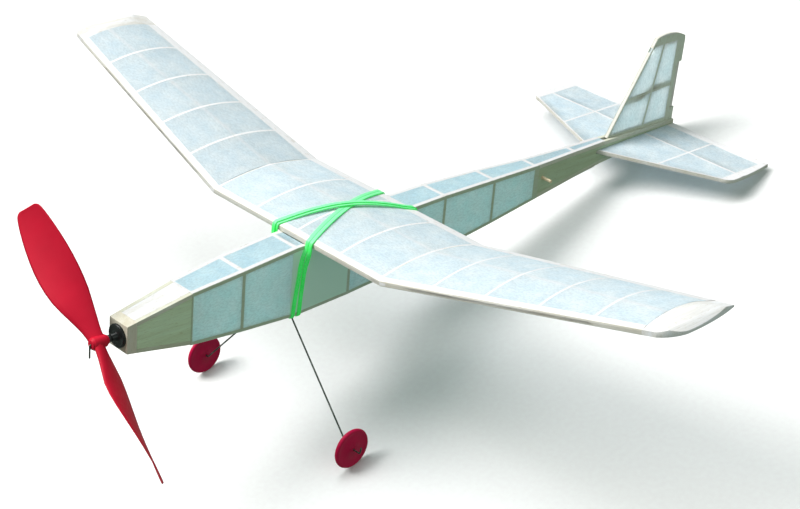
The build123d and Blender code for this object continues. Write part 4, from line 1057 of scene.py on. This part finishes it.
class AEROPLANE_OT_tail_covering(bpy.types.Operator):
    """Cover both faces of the tailplane and of the fin"""
    bl_idname = "aeroplane.tail_covering"
    bl_label = "Tail covering"

    def execute(self, context):
        look = settings()
        stab_paper = tissue_paper("tissue_tailplane", GRAIN_SPAN, look.wing_blue, look.wing_pale,
                                  glued_colour=WING_STRIPS)
        # The fin's tissue colours are painted light, and its strip colour painted shade.
        fin_paper = tissue_paper("tissue_fin", GRAIN_UP, look.fin_lit_blue, look.fin_lit_pale, line=0.6,
                                 glued_colour=FIN_STRIPS_SHADE, glow=0.85)
        skins = (
            ("tailplane_covering_top", self.stab_columns(0.0), stab_paper, True, "stab_tissue"),
            ("tailplane_covering_bottom", self.stab_columns(-TAIL_DEPTH), stab_paper, False, None),
            ("fin_covering_port", self.fin_columns(1), fin_paper, False, "fin_tissue"),
            ("fin_covering_starboard", self.fin_columns(-1), fin_paper, True, None),
        )
        for name, columns, paper, flip, node in skins:
            hang(lattice(name, columns, paper, flip), node)
        return {"FINISHED"}

    def stab_columns(self, z):
        """Columns run aft; the outline is swept in front and rounded at the tips."""
        look = settings()
        tip_lead = STAB_LE + STAB_SWEEP * STAB_TIP_X
        fore = circle_through((STAB_TIP_X, tip_lead), (STAB_HALF_SPAN - 2.3, tip_lead + 3.6),
                              (STAB_HALF_SPAN, tip_lead + 9))
        aft = circle_through((STAB_HALF_SPAN, tip_lead + 9), (STAB_HALF_SPAN - 0.8, tip_lead + 32),
                             (STAB_HALF_SPAN - 4, TAIL_END))
        rib = [-STAB_RIB_X, STAB_RIB_X]
        marks = [-STAB_TIP_X - FEATHER, -STAB_TIP_X, 0, STAB_TIP_X, STAB_TIP_X + FEATHER]
        outs = lines_between(marks + strip_marks(rib, TAIL_STRIP / 2), 6.0)
        tips = [STAB_TIP_X + step for step in (2.5, 4.5, 6.2, 7.4, 8.2)]
        outs = [-tip for tip in reversed(tips)] + outs + tips
        columns = []
        for out in outs:
            reach = abs(out)
            low, high = STAB_LE + STAB_SWEEP * reach, TAIL_END
            if reach > STAB_TIP_X:
                low = fore[1] - math.sqrt(max(0.0, fore[2] ** 2 - (reach - fore[0]) ** 2))
            if reach > STAB_HALF_SPAN - 4:
                high = aft[1] + math.sqrt(max(0.0, aft[2] ** 2 - (reach - aft[0]) ** 2))
            share = reach % STAB_RIB_X / STAB_RIB_X
            bay = 4 * share * (1 - share)
            column = []
            for y, glued in strip_rows(low, high, TAIL_LE_WIDTH, STAB_TE_WIDTH, [STAB_SPAR_Y]):
                tip = within((reach - STAB_TIP_X) / FEATHER)
                glued = max(glued, near(out, rib, TAIL_STRIP / 2), tip)
                place = min(max(y, low), high)
                dip = look.tissue_sag / MM * 0.4 * bay * (1 - glued)
                column.append(((out, place, z + (-dip if z == 0 else dip)), glued))
            columns.append(column)
        return columns

    def fin_columns(self, side):
        """Columns run aft at rising heights; the rear edge steps in where the tab sits."""
        look = settings()
        stations = fuselage_stations()
        lead_low, lead_high = (FIN_LE_FOOT, station_at(stations, FIN_LE_FOOT)[1]), FIN_LE_TOP
        foot = (TAIL_END - 0.6, station_at(stations, TAIL_END - 0.6)[1])
        rate_fore = (lead_high[0] - lead_low[0]) / (lead_high[1] - lead_low[1])
        rate_aft = (FIN_TE_TOP[0] - foot[0]) / (FIN_TE_TOP[1] - foot[1])
        tip = circle_through(FIN_LE_TOP, (FIN_LE_TOP[0] + 19, FIN_LE_TOP[1] + 1.4), FIN_TE_TOP)
        highest = FIN_LE_TOP[1] - 0.02
        marks = [foot[1] + FIN_BASE, foot[1] + FIN_BASE + FEATHER,
                 TAB_LOW, TAB_LOW + 0.01, TAB_HIGH - 0.01, TAB_HIGH,
                 FIN_LE_TOP[1] - FIN_CAP - FEATHER, FIN_LE_TOP[1] - FIN_CAP, highest]
        heights = lines_between(marks + strip_marks([FIN_RIB_Z], TAIL_STRIP / 2), 6.0)
        columns = []
        for z in heights:
            fore = lead_low[0] + rate_fore * (z - lead_low[1])
            rear = foot[0] + rate_aft * (z - foot[1])
            if z > FIN_TE_TOP[1]:
                rear = min(rear, tip[0] + math.sqrt(max(0.0, tip[2] ** 2 - (z - tip[1]) ** 2)))
            te_width = FIN_TE_WIDTH
            if TAB_LOW < z < TAB_HIGH:
                rear -= TAB_WIDTH
                te_width -= TAB_WIDTH
            spar = FIN_SPAR_LOW + (FIN_SPAR_HIGH - FIN_SPAR_LOW) * z / 80
            base = within((foot[1] + FIN_BASE + FEATHER - z) / FEATHER)
            cap = within((z - (FIN_LE_TOP[1] - FIN_CAP - FEATHER)) / FEATHER)
            column = []
            for y, glued in strip_rows(fore, rear, FIN_LE_WIDTH, te_width, [spar]):
                slant = FIN_RIB_Z + (y - FIN_RIB_START) * FIN_RIB_RISE
                glued = max(glued, near(z, [slant], TAIL_STRIP / 2), base, cap)
                dip = look.tissue_sag / MM * 0.3 * (1 - glued)
                column.append(((side * (FIN_HALF - dip), min(max(y, fore), rear), z), glued))
            columns.append(column)
        low_row = []
        for (_, y, _), _ in columns[0]:
            z = lead_low[1] + (foot[1] - lead_low[1]) * (y - lead_low[0]) / (foot[0] - lead_low[0])
            low_row.append(((side * FIN_HALF, max(y, FIN_LE_FOOT), z), 1))
        return [low_row] + columns


# ---------------------------------------------------------------- geometry trees
class ShapeTree:
    """A Geometry Nodes tree with named inputs, run once on an object and baked."""

    def __init__(self, name, **inputs):
        self.group = bpy.data.node_groups.new(name, "GeometryNodeTree")
        face = self.group.interface
        face.new_socket("Geometry", in_out="INPUT", socket_type="NodeSocketGeometry")
        face.new_socket("Geometry", in_out="OUTPUT", socket_type="NodeSocketGeometry")
        self.values = {}
        for key, value in inputs.items():
            kind = "NodeSocketFloat" if isinstance(value, float) else "NodeSocketMaterial"
            socket = face.new_socket(key, in_out="INPUT", socket_type=kind)
            self.values[socket.identifier] = value
        self.start = self.group.nodes.new("NodeGroupInput")
        self.end = self.group.nodes.new("NodeGroupOutput")

    def input(self, key):
        return self.start.outputs[key]

    def node(self, kind, inputs=None, **settings_):
        made = self.group.nodes.new(kind)
        for key, value in settings_.items():
            setattr(made, key, value)
        for key, value in (inputs or {}).items():
            if isinstance(value, bpy.types.NodeSocket):
                self.group.links.new(value, made.inputs[key])
            else:
                made.inputs[key].default_value = value
        return made

    def close(self, geometry, material):
        """End the tree in plain geometry with its material."""
        real = self.node("GeometryNodeRealizeInstances", {"Geometry": geometry})
        smooth = self.node("GeometryNodeSetShadeSmooth", {"Geometry": real.outputs[0]})
        done = self.node("GeometryNodeSetMaterial", {
            "Geometry": smooth.outputs[0], "Material": material})
        self.group.links.new(done.outputs[0], self.end.inputs[0])

    def run(self, source, name):
        """The tree's shape on a source object, as a plain mesh object."""
        modifier = source.modifiers.new("shape", "NODES")
        modifier.node_group = self.group
        for identifier, value in self.values.items():
            modifier[identifier] = value
        return baked(source, name)


def route_object(name, points, flats, cyclic):
    """A line of edges through points of the drawing, with the direction its flat side faces."""
    mesh = bpy.data.meshes.new(name)
    count = len(points)
    edges = [(index, (index + 1) % count) for index in range(count if cyclic else count - 1)]
    mesh.from_pydata([DRAWING @ Vector(p) for p in points], edges, [])
    turn = DRAWING.to_3x3()
    layer = mesh.attributes.new("flat", "FLOAT_VECTOR", "POINT")
    layer.data.foreach_set("vector", [c for f in flats for c in (turn @ Vector(f)).normalized()])
    return placed(name, mesh)


def ribbon_tree(width, thickness, material):
    """Sweeps a flat strip with rounded edges along a route, its face towards "flat"."""
    tree = ShapeTree("ribbon", Width=width, Thickness=thickness, Material=material)
    curve = tree.node("GeometryNodeMeshToCurve", {"Mesh": tree.input("Geometry")})
    flat = tree.node("GeometryNodeInputNamedAttribute", {"Name": "flat"}, data_type="FLOAT_VECTOR")
    turned = tree.node("GeometryNodeSetCurveNormal", {
        "Curve": curve.outputs[0], "Normal": flat.outputs[0]}, mode="FREE")
    profile = tree.node("GeometryNodeCurvePrimitiveQuadrilateral", {
        "Width": tree.input("Thickness"), "Height": tree.input("Width")})
    edge = tree.node("ShaderNodeMath", {0: tree.input("Thickness"), 1: 0.32}, operation="MULTIPLY")
    rounded = tree.node("GeometryNodeFilletCurve", {
        "Curve": profile.outputs[0], "Count": 2, "Radius": edge.outputs[0]}, mode="POLY")
    swept = tree.node("GeometryNodeCurveToMesh", {
        "Curve": turned.outputs[0], "Profile Curve": rounded.outputs[0]})
    tree.close(swept.outputs[0], tree.input("Material"))
    return tree


# ------------------------------------------------------------------ rubber bands
def wing_top(aft):
    """Height of the covering above the wing's underside, and its slope, in the centre panel."""
    a, b = LE_WIDTH, CHORD - TE_WIDTH
    x, y, radius = circle_through((a, LE_TOP), (CREST_SHARE * CHORD, CREST), (b, TE_TOP))
    if aft < a:
        slope = (LE_TOP - LE_FACE) / LE_WIDTH
        return LE_FACE + slope * aft + TISSUE, slope
    if aft > b:
        slope = (TE_EDGE - TE_TOP) / TE_WIDTH
        return TE_TOP + slope * (aft - b) + TISSUE, slope
    height = y + math.sqrt(radius**2 - (aft - x) ** 2)
    return height + TISSUE, -(aft - x) / (height - y)


def quarter(share):
    """Sine and cosine at a share of a right angle."""
    return math.sin(share * math.pi / 2), math.cos(share * math.pi / 2)


def edge_bend(side, wall, y, low, turns):
    """Entries of a band's route round a lower edge of the fuselage."""
    bend = []
    for turn in turns:
        sine, cosine = quarter(turn)
        out, up = wall - EDGE_BEND + EDGE_BEND * sine, low + EDGE_BEND - EDGE_BEND * cosine
        bend.append(((side * out, y, up), (side * sine, 0, -cosine), AFT))
    return bend


def band_route(stations, side, lift):
    """One run of the bands: under the nose, up one side, over the wing, down the other, and under.

    Each entry is (point, flat, spread): flat is the way the strip faces, and spread the
    direction in which a second strip lies beside the first.
    """
    half, _, bottom = station_at(stations, GEAR_STATION)
    wall, under = half + BAND_GAP, bottom - BAND_GAP
    route = [((x, GEAR_STATION + 1, under), DOWN, AFT) for x in (0, wall - 3)]
    route += edge_bend(1, wall, GEAR_STATION + 1, under, EDGE_TURNS)
    route += [((wall, GEAR_STATION + 1.2, under + 4), PORT, AFT),
              ((wall + 0.1, GEAR_STATION + 2.4, -26), PORT, AFT)]
    for z, turn in (*reversed(BAND_TWIST), (10.5, 0.94), (WING_Z + 1.5, 1.0)):
        sine, cosine = quarter(turn)
        point = (wall + 0.2 + TWIST_LEAN * turn, GEAR_STATION + 4.4 + TWIST_LEAN * turn, z)
        route.append((point, (cosine, -sine, 0), (sine, cosine, 0)))
    corner_x = wall + 2.8
    for turn in (0.2, 0.5, 0.8):
        sine, cosine = quarter(turn)
        point = (corner_x, WING_LE - 0.9 + LE_BEND * (1 - cosine), WING_Z + 3.0 + LE_BEND * sine)
        route.append((point, (0, -cosine, sine), PORT))
    for aft in spaced(4.0, CHORD - 1.0, 25):
        share = aft / CHORD
        height, slope = wing_top(aft)
        hump = lift * within(1.25 * (1 - abs(share - 0.5) / 0.42))
        point = (corner_x * (1 - 2 * share), WING_LE + aft, WING_Z + height + BAND_SKIN + hump)
        route.append((point, (0, -slope, 1), PORT))
    rear_y = WING_LE + CHORD + 0.9
    rear_half, _, rear_bottom = station_at(stations, rear_y + 3)
    rear_wall, low = rear_half + BAND_GAP, rear_bottom - BAND_GAP
    for turn in (0.2, 0.6, 1.0):
        sine, cosine = quarter(turn)
        point = (-corner_x, rear_y - 1 + sine, WING_Z + TE_EDGE + 0.2 - 1.0 * (1 - cosine))
        route.append((point, (0, sine, cosine), PORT))
    for z, turn in BAND_TWIST:
        sine, cosine = quarter(turn)
        point = (-rear_wall - 0.2 - TWIST_LEAN * turn, rear_y + 1.0, z)
        route.append((point, (-cosine, sine, 0), (sine, cosine, 0)))
    route.append(((-rear_wall, rear_y + 2, low + 4), (-1, 0, 0), AFT))
    route += edge_bend(-1, rear_wall, rear_y + 2, low, reversed(EDGE_TURNS))
    route.append(((0, rear_y + 2, low), DOWN, AFT))
    return [((side * p[0], p[1], p[2]), (side * f[0], f[1], f[2]), s) for p, f, s in route]


class AEROPLANE_OT_wing_bands(bpy.types.Operator):
    """Stretch two flat elastic bands round the fuselage and crosswise over the wing"""
    bl_idname = "aeroplane.wing_bands"
    bl_label = "Wing bands"

    def execute(self, context):
        look = settings()
        stations = fuselage_stations()
        green = band_rubber("green_elastic")
        width = look.band_width / MM
        thick = look.band_thickness / MM
        for index, name in enumerate(("inner", "outer")):
            place = -0.5 if index == 0 else 0.5
            below = self.strand(band_route(stations, 1, 0.0), place * (width + STRAND_GAP), 0.0)
            shift = place * STRAND_LAP * width
            raised = thick + 0.12 if index == 0 else 0.0
            above = self.strand(band_route(stations, -1, 1.5 * thick + 0.3), shift, raised)
            path = below + list(reversed(above))
            source = route_object(f"route_{name}", [p for p, f in path], [f for p, f in path], True)
            ribbon = ribbon_tree(look.band_width, look.band_thickness, green)
            band = ribbon.run(source, f"rubber_band_{name}")
            outward(band)
            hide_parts(f"wing_band_{name}")
            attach(band, "airframe")
        return {"FINISHED"}

    def strand(self, route, beside, raised):
        """One strand of a run, moved sideways and outwards from its middle line."""
        path = []
        for point, flat, spread in route:
            out = Vector(flat).normalized()
            low = within((WING_Z - point[2]) / SIDE_DEPTH)
            apart = beside * (1 + SIDE_SPREAD * low)
            path.append((Vector(point) + Vector(spread).normalized() * apart + out * raised, out))
        return path


# --------------------------------------------------------------- turned pieces
def lathe(name, profile, axis_point, axis, material, sectors=96):
    """A turned piece: (radius, place along the axis) points revolved about an axis."""
    axis = Vector(axis).normalized()
    first = axis.orthogonal().normalized()
    second = axis.cross(first)
    points = []
    for sector in range(sectors):
        angle = 2 * math.pi * sector / sectors
        spoke = first * math.cos(angle) + second * math.sin(angle)
        points += [Vector(axis_point) + axis * along + spoke * radius for radius, along in profile]
    faces = lattice_faces(sectors, len(profile), closed=True, ring=True, across=True)
    return outward(piece(name, points, faces, material))


def softened(profile, radius, steps=3):
    """A closed profile with each corner rounded."""
    result = []
    count = len(profile)
    for index, corner in enumerate(profile):
        before, after = profile[index - 1], profile[(index + 1) % count]
        room = min((Vector(corner) - Vector(end)).length for end in (before, after))
        bend = min(radius, 0.45 * room)
        result += [tuple(p) for p in corner_arc(corner, before, after, bend, steps)]
    return result


class AEROPLANE_OT_wheels(bpy.types.Operator):
    """Mould the two disc wheels, with a rounded tread, a dished face and a hub"""
    bl_idname = "aeroplane.wheels"
    bl_label = "Wheels"

    def execute(self, context):
        red = moulded_plastic("wheel_plastic", settings().wheel_red, 0.42, coat=0.0)
        rim, hub = WHEEL_RIM / 2, WHEEL_HUB / 2
        half = [(AXLE_BORE, hub), (1.9, hub), (2.3, rim - 0.1), (12.6, rim - 0.25), (13.3, rim)]
        crown = [(WHEEL_RADIUS - WHEEL_TREAD + WHEEL_TREAD * math.cos(turn), rim * math.sin(turn))
                 for turn in spaced(math.pi / 2, -math.pi / 2, 13)]
        profile = half + crown + [(radius, -along) for radius, along in reversed(half)]
        for side, name in ((1, "port"), (-1, "starboard")):
            wheel = lathe(f"disc_wheel_{name}", profile, (side * WHEEL_MID_X, GEAR_STATION, AXLE_Z),
                          (side, 0, 0), red)
            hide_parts(f"wheel_{name}")
            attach(wheel, f"wheel_{name}_unit")
        return {"FINISHED"}


class AEROPLANE_OT_wire_and_bead(bpy.types.Operator):
    """Finish the landing gear wire, the propeller shaft and the thrust bead"""
    bl_idname = "aeroplane.wire_and_bead"
    bl_label = "Wire and bead"

    def execute(self, context):
        for node in ("landing_gear", "prop_shaft"):
            dress(node, spring_wire(f"wire_{node}"))
        dress("thrust_bead", moulded_plastic("bead_black", (0.02, 0.022, 0.022), 0.25, mottle=0.0))
        rounded_edges("thrust_bead", 0.5)
        return {"FINISHED"}


class AEROPLANE_OT_nose_button(bpy.types.Operator):
    """Mould the nose button: domed flange, boss and square plug"""
    bl_idname = "aeroplane.nose_button"
    bl_label = "Nose button"

    def execute(self, context):
        black = moulded_plastic("black_plastic", (0.012, 0.014, 0.014), 0.3, mottle=0.0)
        profile = softened([
            (BUTTON_BORE, 0.0), (8.7, 0.0), (8.7, 1.6), (8.1, 2.1), (7.2, 2.1), (6.9, 1.8),
            (4.4, 1.8), (3.9, 2.1), (3.2, 2.4), (2.7, BUTTON_FRONT),
            (BUTTON_BORE, BUTTON_FRONT)], 0.35)
        face = lathe("button_flange", profile, (0, 0, THRUST_Z), (0, -1, 0), black)
        button = joined([face, self.plug(black)], "nose_button_moulding")
        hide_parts("nose_button")
        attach(button, "nose_plug")
        return {"FINISHED"}

    def plug(self, black):
        """The square plug that goes into the nose block, from inside the flange."""
        points = [(reach * x, y, THRUST_Z + reach * z) for y in (-0.5, PLUG_DEPTH)
                  for reach in (PLUG_HALF, BUTTON_BORE) for x, z in SQUARE]
        faces = []
        for corner in range(4):
            after = (corner + 1) % 4
            for a, b in ((0, 8), (8, 12), (12, 4), (4, 0)):
                faces.append((a + corner, a + after, b + after, b + corner))
        return outward(piece("button_plug", points, faces, black, smooth=False))


# -------------------------------------------------------------------- propeller
# At shares of the radius: where the blade has a section, its width, and how far the middle
# of its chord lies towards its leading edge.
BLADE_STATIONS = (0.0, 0.03, 0.06, 0.1, 0.15, 0.2, 0.27, 0.35, 0.43, 0.51, 0.59, 0.67, 0.75, 0.82,
                  0.88, 0.92, 0.95, 0.97, 0.985, 0.994, 1.0)
BLADE_CHORDS = (
    (0.0, 10.5), (0.05, 11.5), (0.1, 13.2), (0.2, 18.6), (0.35, 26.4), (0.5, 30.0), (0.62, 30.6),
    (0.75, 29.0), (0.86, 26.0), (0.94, 22.6), (0.975, 20.0), (0.99, 17.5), (1.0, 13.0))
BLADE_LEADS = ((0.0, 0.0), (0.12, 1.0), (0.3, 3.4), (0.5, 5.2), (0.7, 6.3), (0.86, 7.0), (1.0, 7.4))
BLADE_SIDES = 14


def smooth_through(knots, at):
    """Smooth curve through (place, value) knots."""
    for index in range(len(knots) - 1):
        if knots[index][0] <= at <= knots[index + 1][0]:
            break
    (x0, y0), (x1, y1) = knots[index], knots[index + 1]
    before, after = knots[max(index - 1, 0)], knots[min(index + 2, len(knots) - 1)]
    slope0 = (y1 - before[1]) / (x1 - before[0])
    slope1 = (after[1] - y0) / (after[0] - x0)
    width = x1 - x0
    t = (at - x0) / width
    return ((2 * t**3 - 3 * t**2 + 1) * y0 + (t**3 - 2 * t**2 + t) * width * slope0
            + (3 * t**2 - 2 * t**3) * y1 + (t**3 - t**2) * width * slope1)


def blade_section(chord, thickness):
    """Thin cambered section with a round nose, as (across, proud) points."""
    points = []
    for index in range(BLADE_SIDES):
        angle = 2 * math.pi * index / BLADE_SIDES
        across = math.cos(angle)
        camber = 0.035 * chord * (1 - across**2)
        proud = math.sin(angle) * thickness / 2 * (1 - 0.25 * across) + camber
        points.append((across * chord / 2, proud))
    return points


class AEROPLANE_OT_propeller(bpy.types.Operator):
    """Mould the two-bladed propeller with its barrel hub"""
    bl_idname = "aeroplane.propeller"
    bl_label = "Propeller"

    def execute(self, context):
        red = moulded_plastic("propeller_plastic", settings().propeller_red, 0.5, mottle=0.06,
                              coat=0.05)
        points, faces = [], []
        for turn in (0, 1):
            self.blade(points, faces, turn)
        self.hub(points, faces)
        made = piece("moulded_propeller", points, faces, red)
        outward(made)
        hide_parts("propeller")
        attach(made, "propeller_unit")
        return {"FINISHED"}

    def blade(self, points, faces, turn):
        axis = Vector((-math.sin(BLADE_ANGLE), 0, math.cos(BLADE_ANGLE)))
        across = Vector((math.cos(BLADE_ANGLE), 0, math.sin(BLADE_ANGLE)))
        middle = Vector((0, -HUB_START - HUB_DEPTH * 0.55, THRUST_Z))
        half_turn = Matrix.Rotation(math.pi * turn, 3, "Y")
        base = len(points)
        for share in BLADE_STATIONS:
            radius = share * PROP_RADIUS
            pitch = min(math.atan(PROP_PITCH / (2 * math.pi * max(radius, 1))), ROOT_PITCH)
            chord_line = across * math.cos(pitch) + Vector((0, 1, 0)) * math.sin(pitch)
            proud = axis.cross(chord_line)
            thickness = 4.6 * (1 - share) ** 2.2 + 1.3 - 0.6 * share
            chord = smooth_through(BLADE_CHORDS, share)
            lead = smooth_through(BLADE_LEADS, share)
            for x, y in blade_section(chord, thickness):
                seat = axis * radius + chord_line * (x - lead) + proud * y
                points.append(middle + half_turn @ seat)
        faces += lattice_faces(len(BLADE_STATIONS), BLADE_SIDES, ring=True, first=base)
        faces.append(tuple(range(base, base + BLADE_SIDES)))
        faces.append(tuple(reversed(range(len(points) - BLADE_SIDES, len(points)))))

    def hub(self, points, faces):
        """Barrel round the shaft, with a collar at each end."""
        sectors, collar, end = 48, 3.4, HUB_START + HUB_DEPTH
        profile = softened([
            (HUB_BORE, HUB_START), (collar, HUB_START), (3.6, HUB_START + 1.4),
            (HUB_RADIUS, HUB_START + 2.0), (HUB_RADIUS, end - 1.6), (3.7, end - 1.1),
            (collar, end), (HUB_BORE, end)], 0.45)
        base = len(points)
        for sector in range(sectors):
            angle = 2 * math.pi * sector / sectors
            for radius, along in profile:
                height = THRUST_Z + radius * math.sin(angle)
                points.append(Vector((radius * math.cos(angle), -along, height)))
        faces += lattice_faces(sectors, len(profile), closed=True, ring=True, first=base,
                               across=True)


# ----------------------------------------------------------------- rubber motor
class AEROPLANE_OT_rubber_motor(bpy.types.Operator):
    """Lay up the motor: strands of strip rubber from the shaft's hook to the peg"""
    bl_idname = "aeroplane.rubber_motor"
    bl_label = "Rubber motor"

    def execute(self, context):
        look = settings()
        strands = ribbon_tree(MOTOR_WIDTH * MM, MOTOR_THICKNESS * MM, strip_rubber("motor_strip"))
        hook, peg = Vector((0, HOOK_Y, THRUST_Z)), Vector((0, PEG_Y, PEG_Z))
        draw = random.Random(look.seed)
        made = []
        for strand in range(MOTOR_STRANDS):
            route, flats = [], []
            phase = 2 * math.pi * strand / MOTOR_STRANDS
            for index in range(MOTOR_STEPS + 1):
                share = index / MOTOR_STEPS
                middle = hook.lerp(peg, share)
                spread = 1.9 + 0.5 * math.sin(math.pi * share)
                angle = phase + 2.2 * math.pi * share + 0.15 * draw.uniform(-1, 1)
                out = Vector((math.cos(angle), 0, math.sin(angle)))
                route.append(middle + out * spread)
                flats.append(out)
            source = route_object(f"strand_route_{strand}", route, flats, False)
            made.append(strands.run(source, f"strand_{strand}"))
        motor = joined(made, "motor_strands")
        outward(motor)
        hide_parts("rubber_motor")
        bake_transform(motor)
        return {"FINISHED"}


def joined(things, name):
    """Several mesh objects as one."""
    shape = bmesh.new()
    for thing in things:
        shape.from_mesh(thing.data)
    mesh = bpy.data.meshes.new(name)
    shape.to_mesh(mesh)
    shape.free()
    for slot_material in things[0].data.materials:
        mesh.materials.append(slot_material)
    for thing in things:
        bpy.data.objects.remove(thing, do_unlink=True)
    return placed(name, mesh)


def colour_setting(name, description, default):
    """A colour that the panel shows."""
    return bpy.props.FloatVectorProperty(
        name=name, description=description, default=default, min=0, max=1, subtype="COLOR",
        size=3)


class AEROPLANE_PG_finish(bpy.types.PropertyGroup):
    """Sizes and colours of the finish"""
    balsa_pale: colour_setting("Balsa, pale", "Palest balsa fibre", (0.80, 0.78, 0.745))
    balsa_deep: colour_setting("Balsa, deep", "Deeper bands of the balsa", (0.70, 0.655, 0.57))
    balsa_pore: colour_setting("Balsa pores", "Short pore marks in the balsa", (0.42, 0.32, 0.18))
    glued_wood: colour_setting(
        "Wood under tissue", "Wood seen through glued tissue", (0.76, 0.745, 0.76))
    glue_brown: colour_setting("Glue line", "Line where glued tissue ends", (0.36, 0.30, 0.18))
    tissue_blue: colour_setting(
        "Fuselage top, blue", "Bluer areas of the top covering", (0.64, 0.81, 0.90))
    tissue_pale: colour_setting(
        "Fuselage top, pale", "Paler areas of the top covering", (0.76, 0.89, 0.95))
    wing_blue: colour_setting(
        "Wing and tailplane, blue", "Bluer areas of the covering", (0.81, 0.895, 0.95))
    wing_pale: colour_setting(
        "Wing and tailplane, pale", "Paler areas of the covering", (0.92, 0.96, 0.985))
    # The fin's own copy of the tissue colours, set for the light that comes through the fin:
    # painted light.
    fin_lit_blue: colour_setting("Fin, blue", "Bluer areas of the fin covering", (0.82, 0.89, 0.905))
    fin_lit_pale: colour_setting("Fin, pale", "Paler areas of the fin covering", (0.90, 0.94, 0.95))
    # The sides' copy of the tissue colours, greener than the same tissue on top: painted shade tint
    # of the shaded sides.
    side_shade_blue: colour_setting(
        "Sides, blue-green", "Deeper areas of the side covering", (0.78, 0.97, 0.97))
    side_shade_pale: colour_setting("Sides, pale", "Paler areas of the side covering", (0.88, 1.0, 1.0))
    tissue_glow: bpy.props.FloatProperty(
        name="Tissue glow", description="Share of light that the tissue lets through softly",
        default=0.5, min=0, max=1, subtype="FACTOR")
    tissue_clear: bpy.props.FloatProperty(
        name="Tissue clearness", description="Share of the tissue that can be seen through",
        default=0.16, min=0, max=1, subtype="FACTOR")
    tissue_sag: bpy.props.FloatProperty(
        name="Tissue sag", description="Depth of the sag in the middle of a bay",
        default=0.0007, min=0, max=0.003, unit="LENGTH", precision=5)
    wood_edge: bpy.props.FloatProperty(
        name="Wood edge", description="Width of the sanded edge of each strip",
        default=0.00025, min=0, max=0.001, unit="LENGTH", precision=5)
    band_green: colour_setting(
        "Band, green", "Deeper green of the elastic bands", (0.035, 0.80, 0.11))
    band_light: colour_setting(
        "Band, light", "Lighter green of the elastic bands", (0.07, 0.92, 0.17))
    # Colour of the painted highlight where the band faces up.
    band_painted_highlight: colour_setting(
        "Band, faded", "Elastic faded by the sun where it faces up", (0.25, 0.70, 0.42))
    propeller_red: colour_setting(
        "Propeller red", "Colour of the moulded propeller", (0.62, 0.004, 0.030))
    wheel_red: colour_setting("Wheel red", "Colour of the moulded wheels", (0.60, 0.003, 0.064))
    band_width: bpy.props.FloatProperty(
        name="Band width", description="Width of the flat elastic",
        default=0.0032, min=0.001, max=0.006, unit="LENGTH", precision=5)
    band_thickness: bpy.props.FloatProperty(
        name="Band thickness", description="Thickness of the flat elastic",
        default=0.0009, min=0.0003, max=0.002, unit="LENGTH", precision=5)
    seed: bpy.props.IntProperty(name="Seed", description="Start of the random draws", default=7)
    fill_colour: colour_setting(
        "Fill colour", "Colour of the light from all round", (0.80, 1.0, 0.88))
    fill_strength: bpy.props.FloatProperty(
        name="Fill strength", description="Brightness of the light from all round",
        default=0.27, min=0)
    key_strength: bpy.props.FloatProperty(
        name="Key lamp", description="Strength of the main lamp",
        default=192, min=0, unit="POWER")
    top_strength: bpy.props.FloatProperty(
        name="Top lamp", description="Strength of the lamp above",
        default=40, min=0, unit="POWER")
    side_strength: bpy.props.FloatProperty(
        name="Side lamp", description="Strength of the lamp to port",
        default=4.6, min=0, unit="POWER")
    floor_colour: colour_setting(
        "Floor colour", "Colour of the seamless paper", (0.88, 0.86, 0.87))


OPERATORS = [
    AEROPLANE_OT_stage, AEROPLANE_OT_wood, AEROPLANE_OT_wire_and_bead, AEROPLANE_OT_wing_covering,
    AEROPLANE_OT_fuselage_covering, AEROPLANE_OT_tail_covering, AEROPLANE_OT_wing_bands,
    AEROPLANE_OT_wheels, AEROPLANE_OT_nose_button, AEROPLANE_OT_propeller,
    AEROPLANE_OT_rubber_motor,
]


class AEROPLANE_PT_finish(bpy.types.Panel):
    """Lists the finishing steps and their settings"""
    bl_idname = "AEROPLANE_PT_finish"
    bl_label = "Aeroplane finish"
    bl_space_type = "VIEW_3D"
    bl_region_type = "UI"
    bl_category = "Aeroplane"

    def draw(self, context):
        for operator in OPERATORS:
            self.layout.operator(operator.bl_idname)
        for name in AEROPLANE_PG_finish.__annotations__:
            self.layout.prop(context.scene.aeroplane_finish, name)


def register():
    for made in (AEROPLANE_PG_finish, *OPERATORS, AEROPLANE_PT_finish):
        bpy.utils.register_class(made)
    bpy.types.Scene.aeroplane_finish = bpy.props.PointerProperty(type=AEROPLANE_PG_finish)


def unregister():
    del bpy.types.Scene.aeroplane_finish
    for made in reversed((AEROPLANE_PG_finish, *OPERATORS, AEROPLANE_PT_finish)):
        bpy.utils.unregister_class(made)


def main():
    register()
    for operator in OPERATORS:
        group, name = operator.bl_idname.split(".")
        getattr(getattr(bpy.ops, group), name)()


if __name__ == "__main__":
    main()
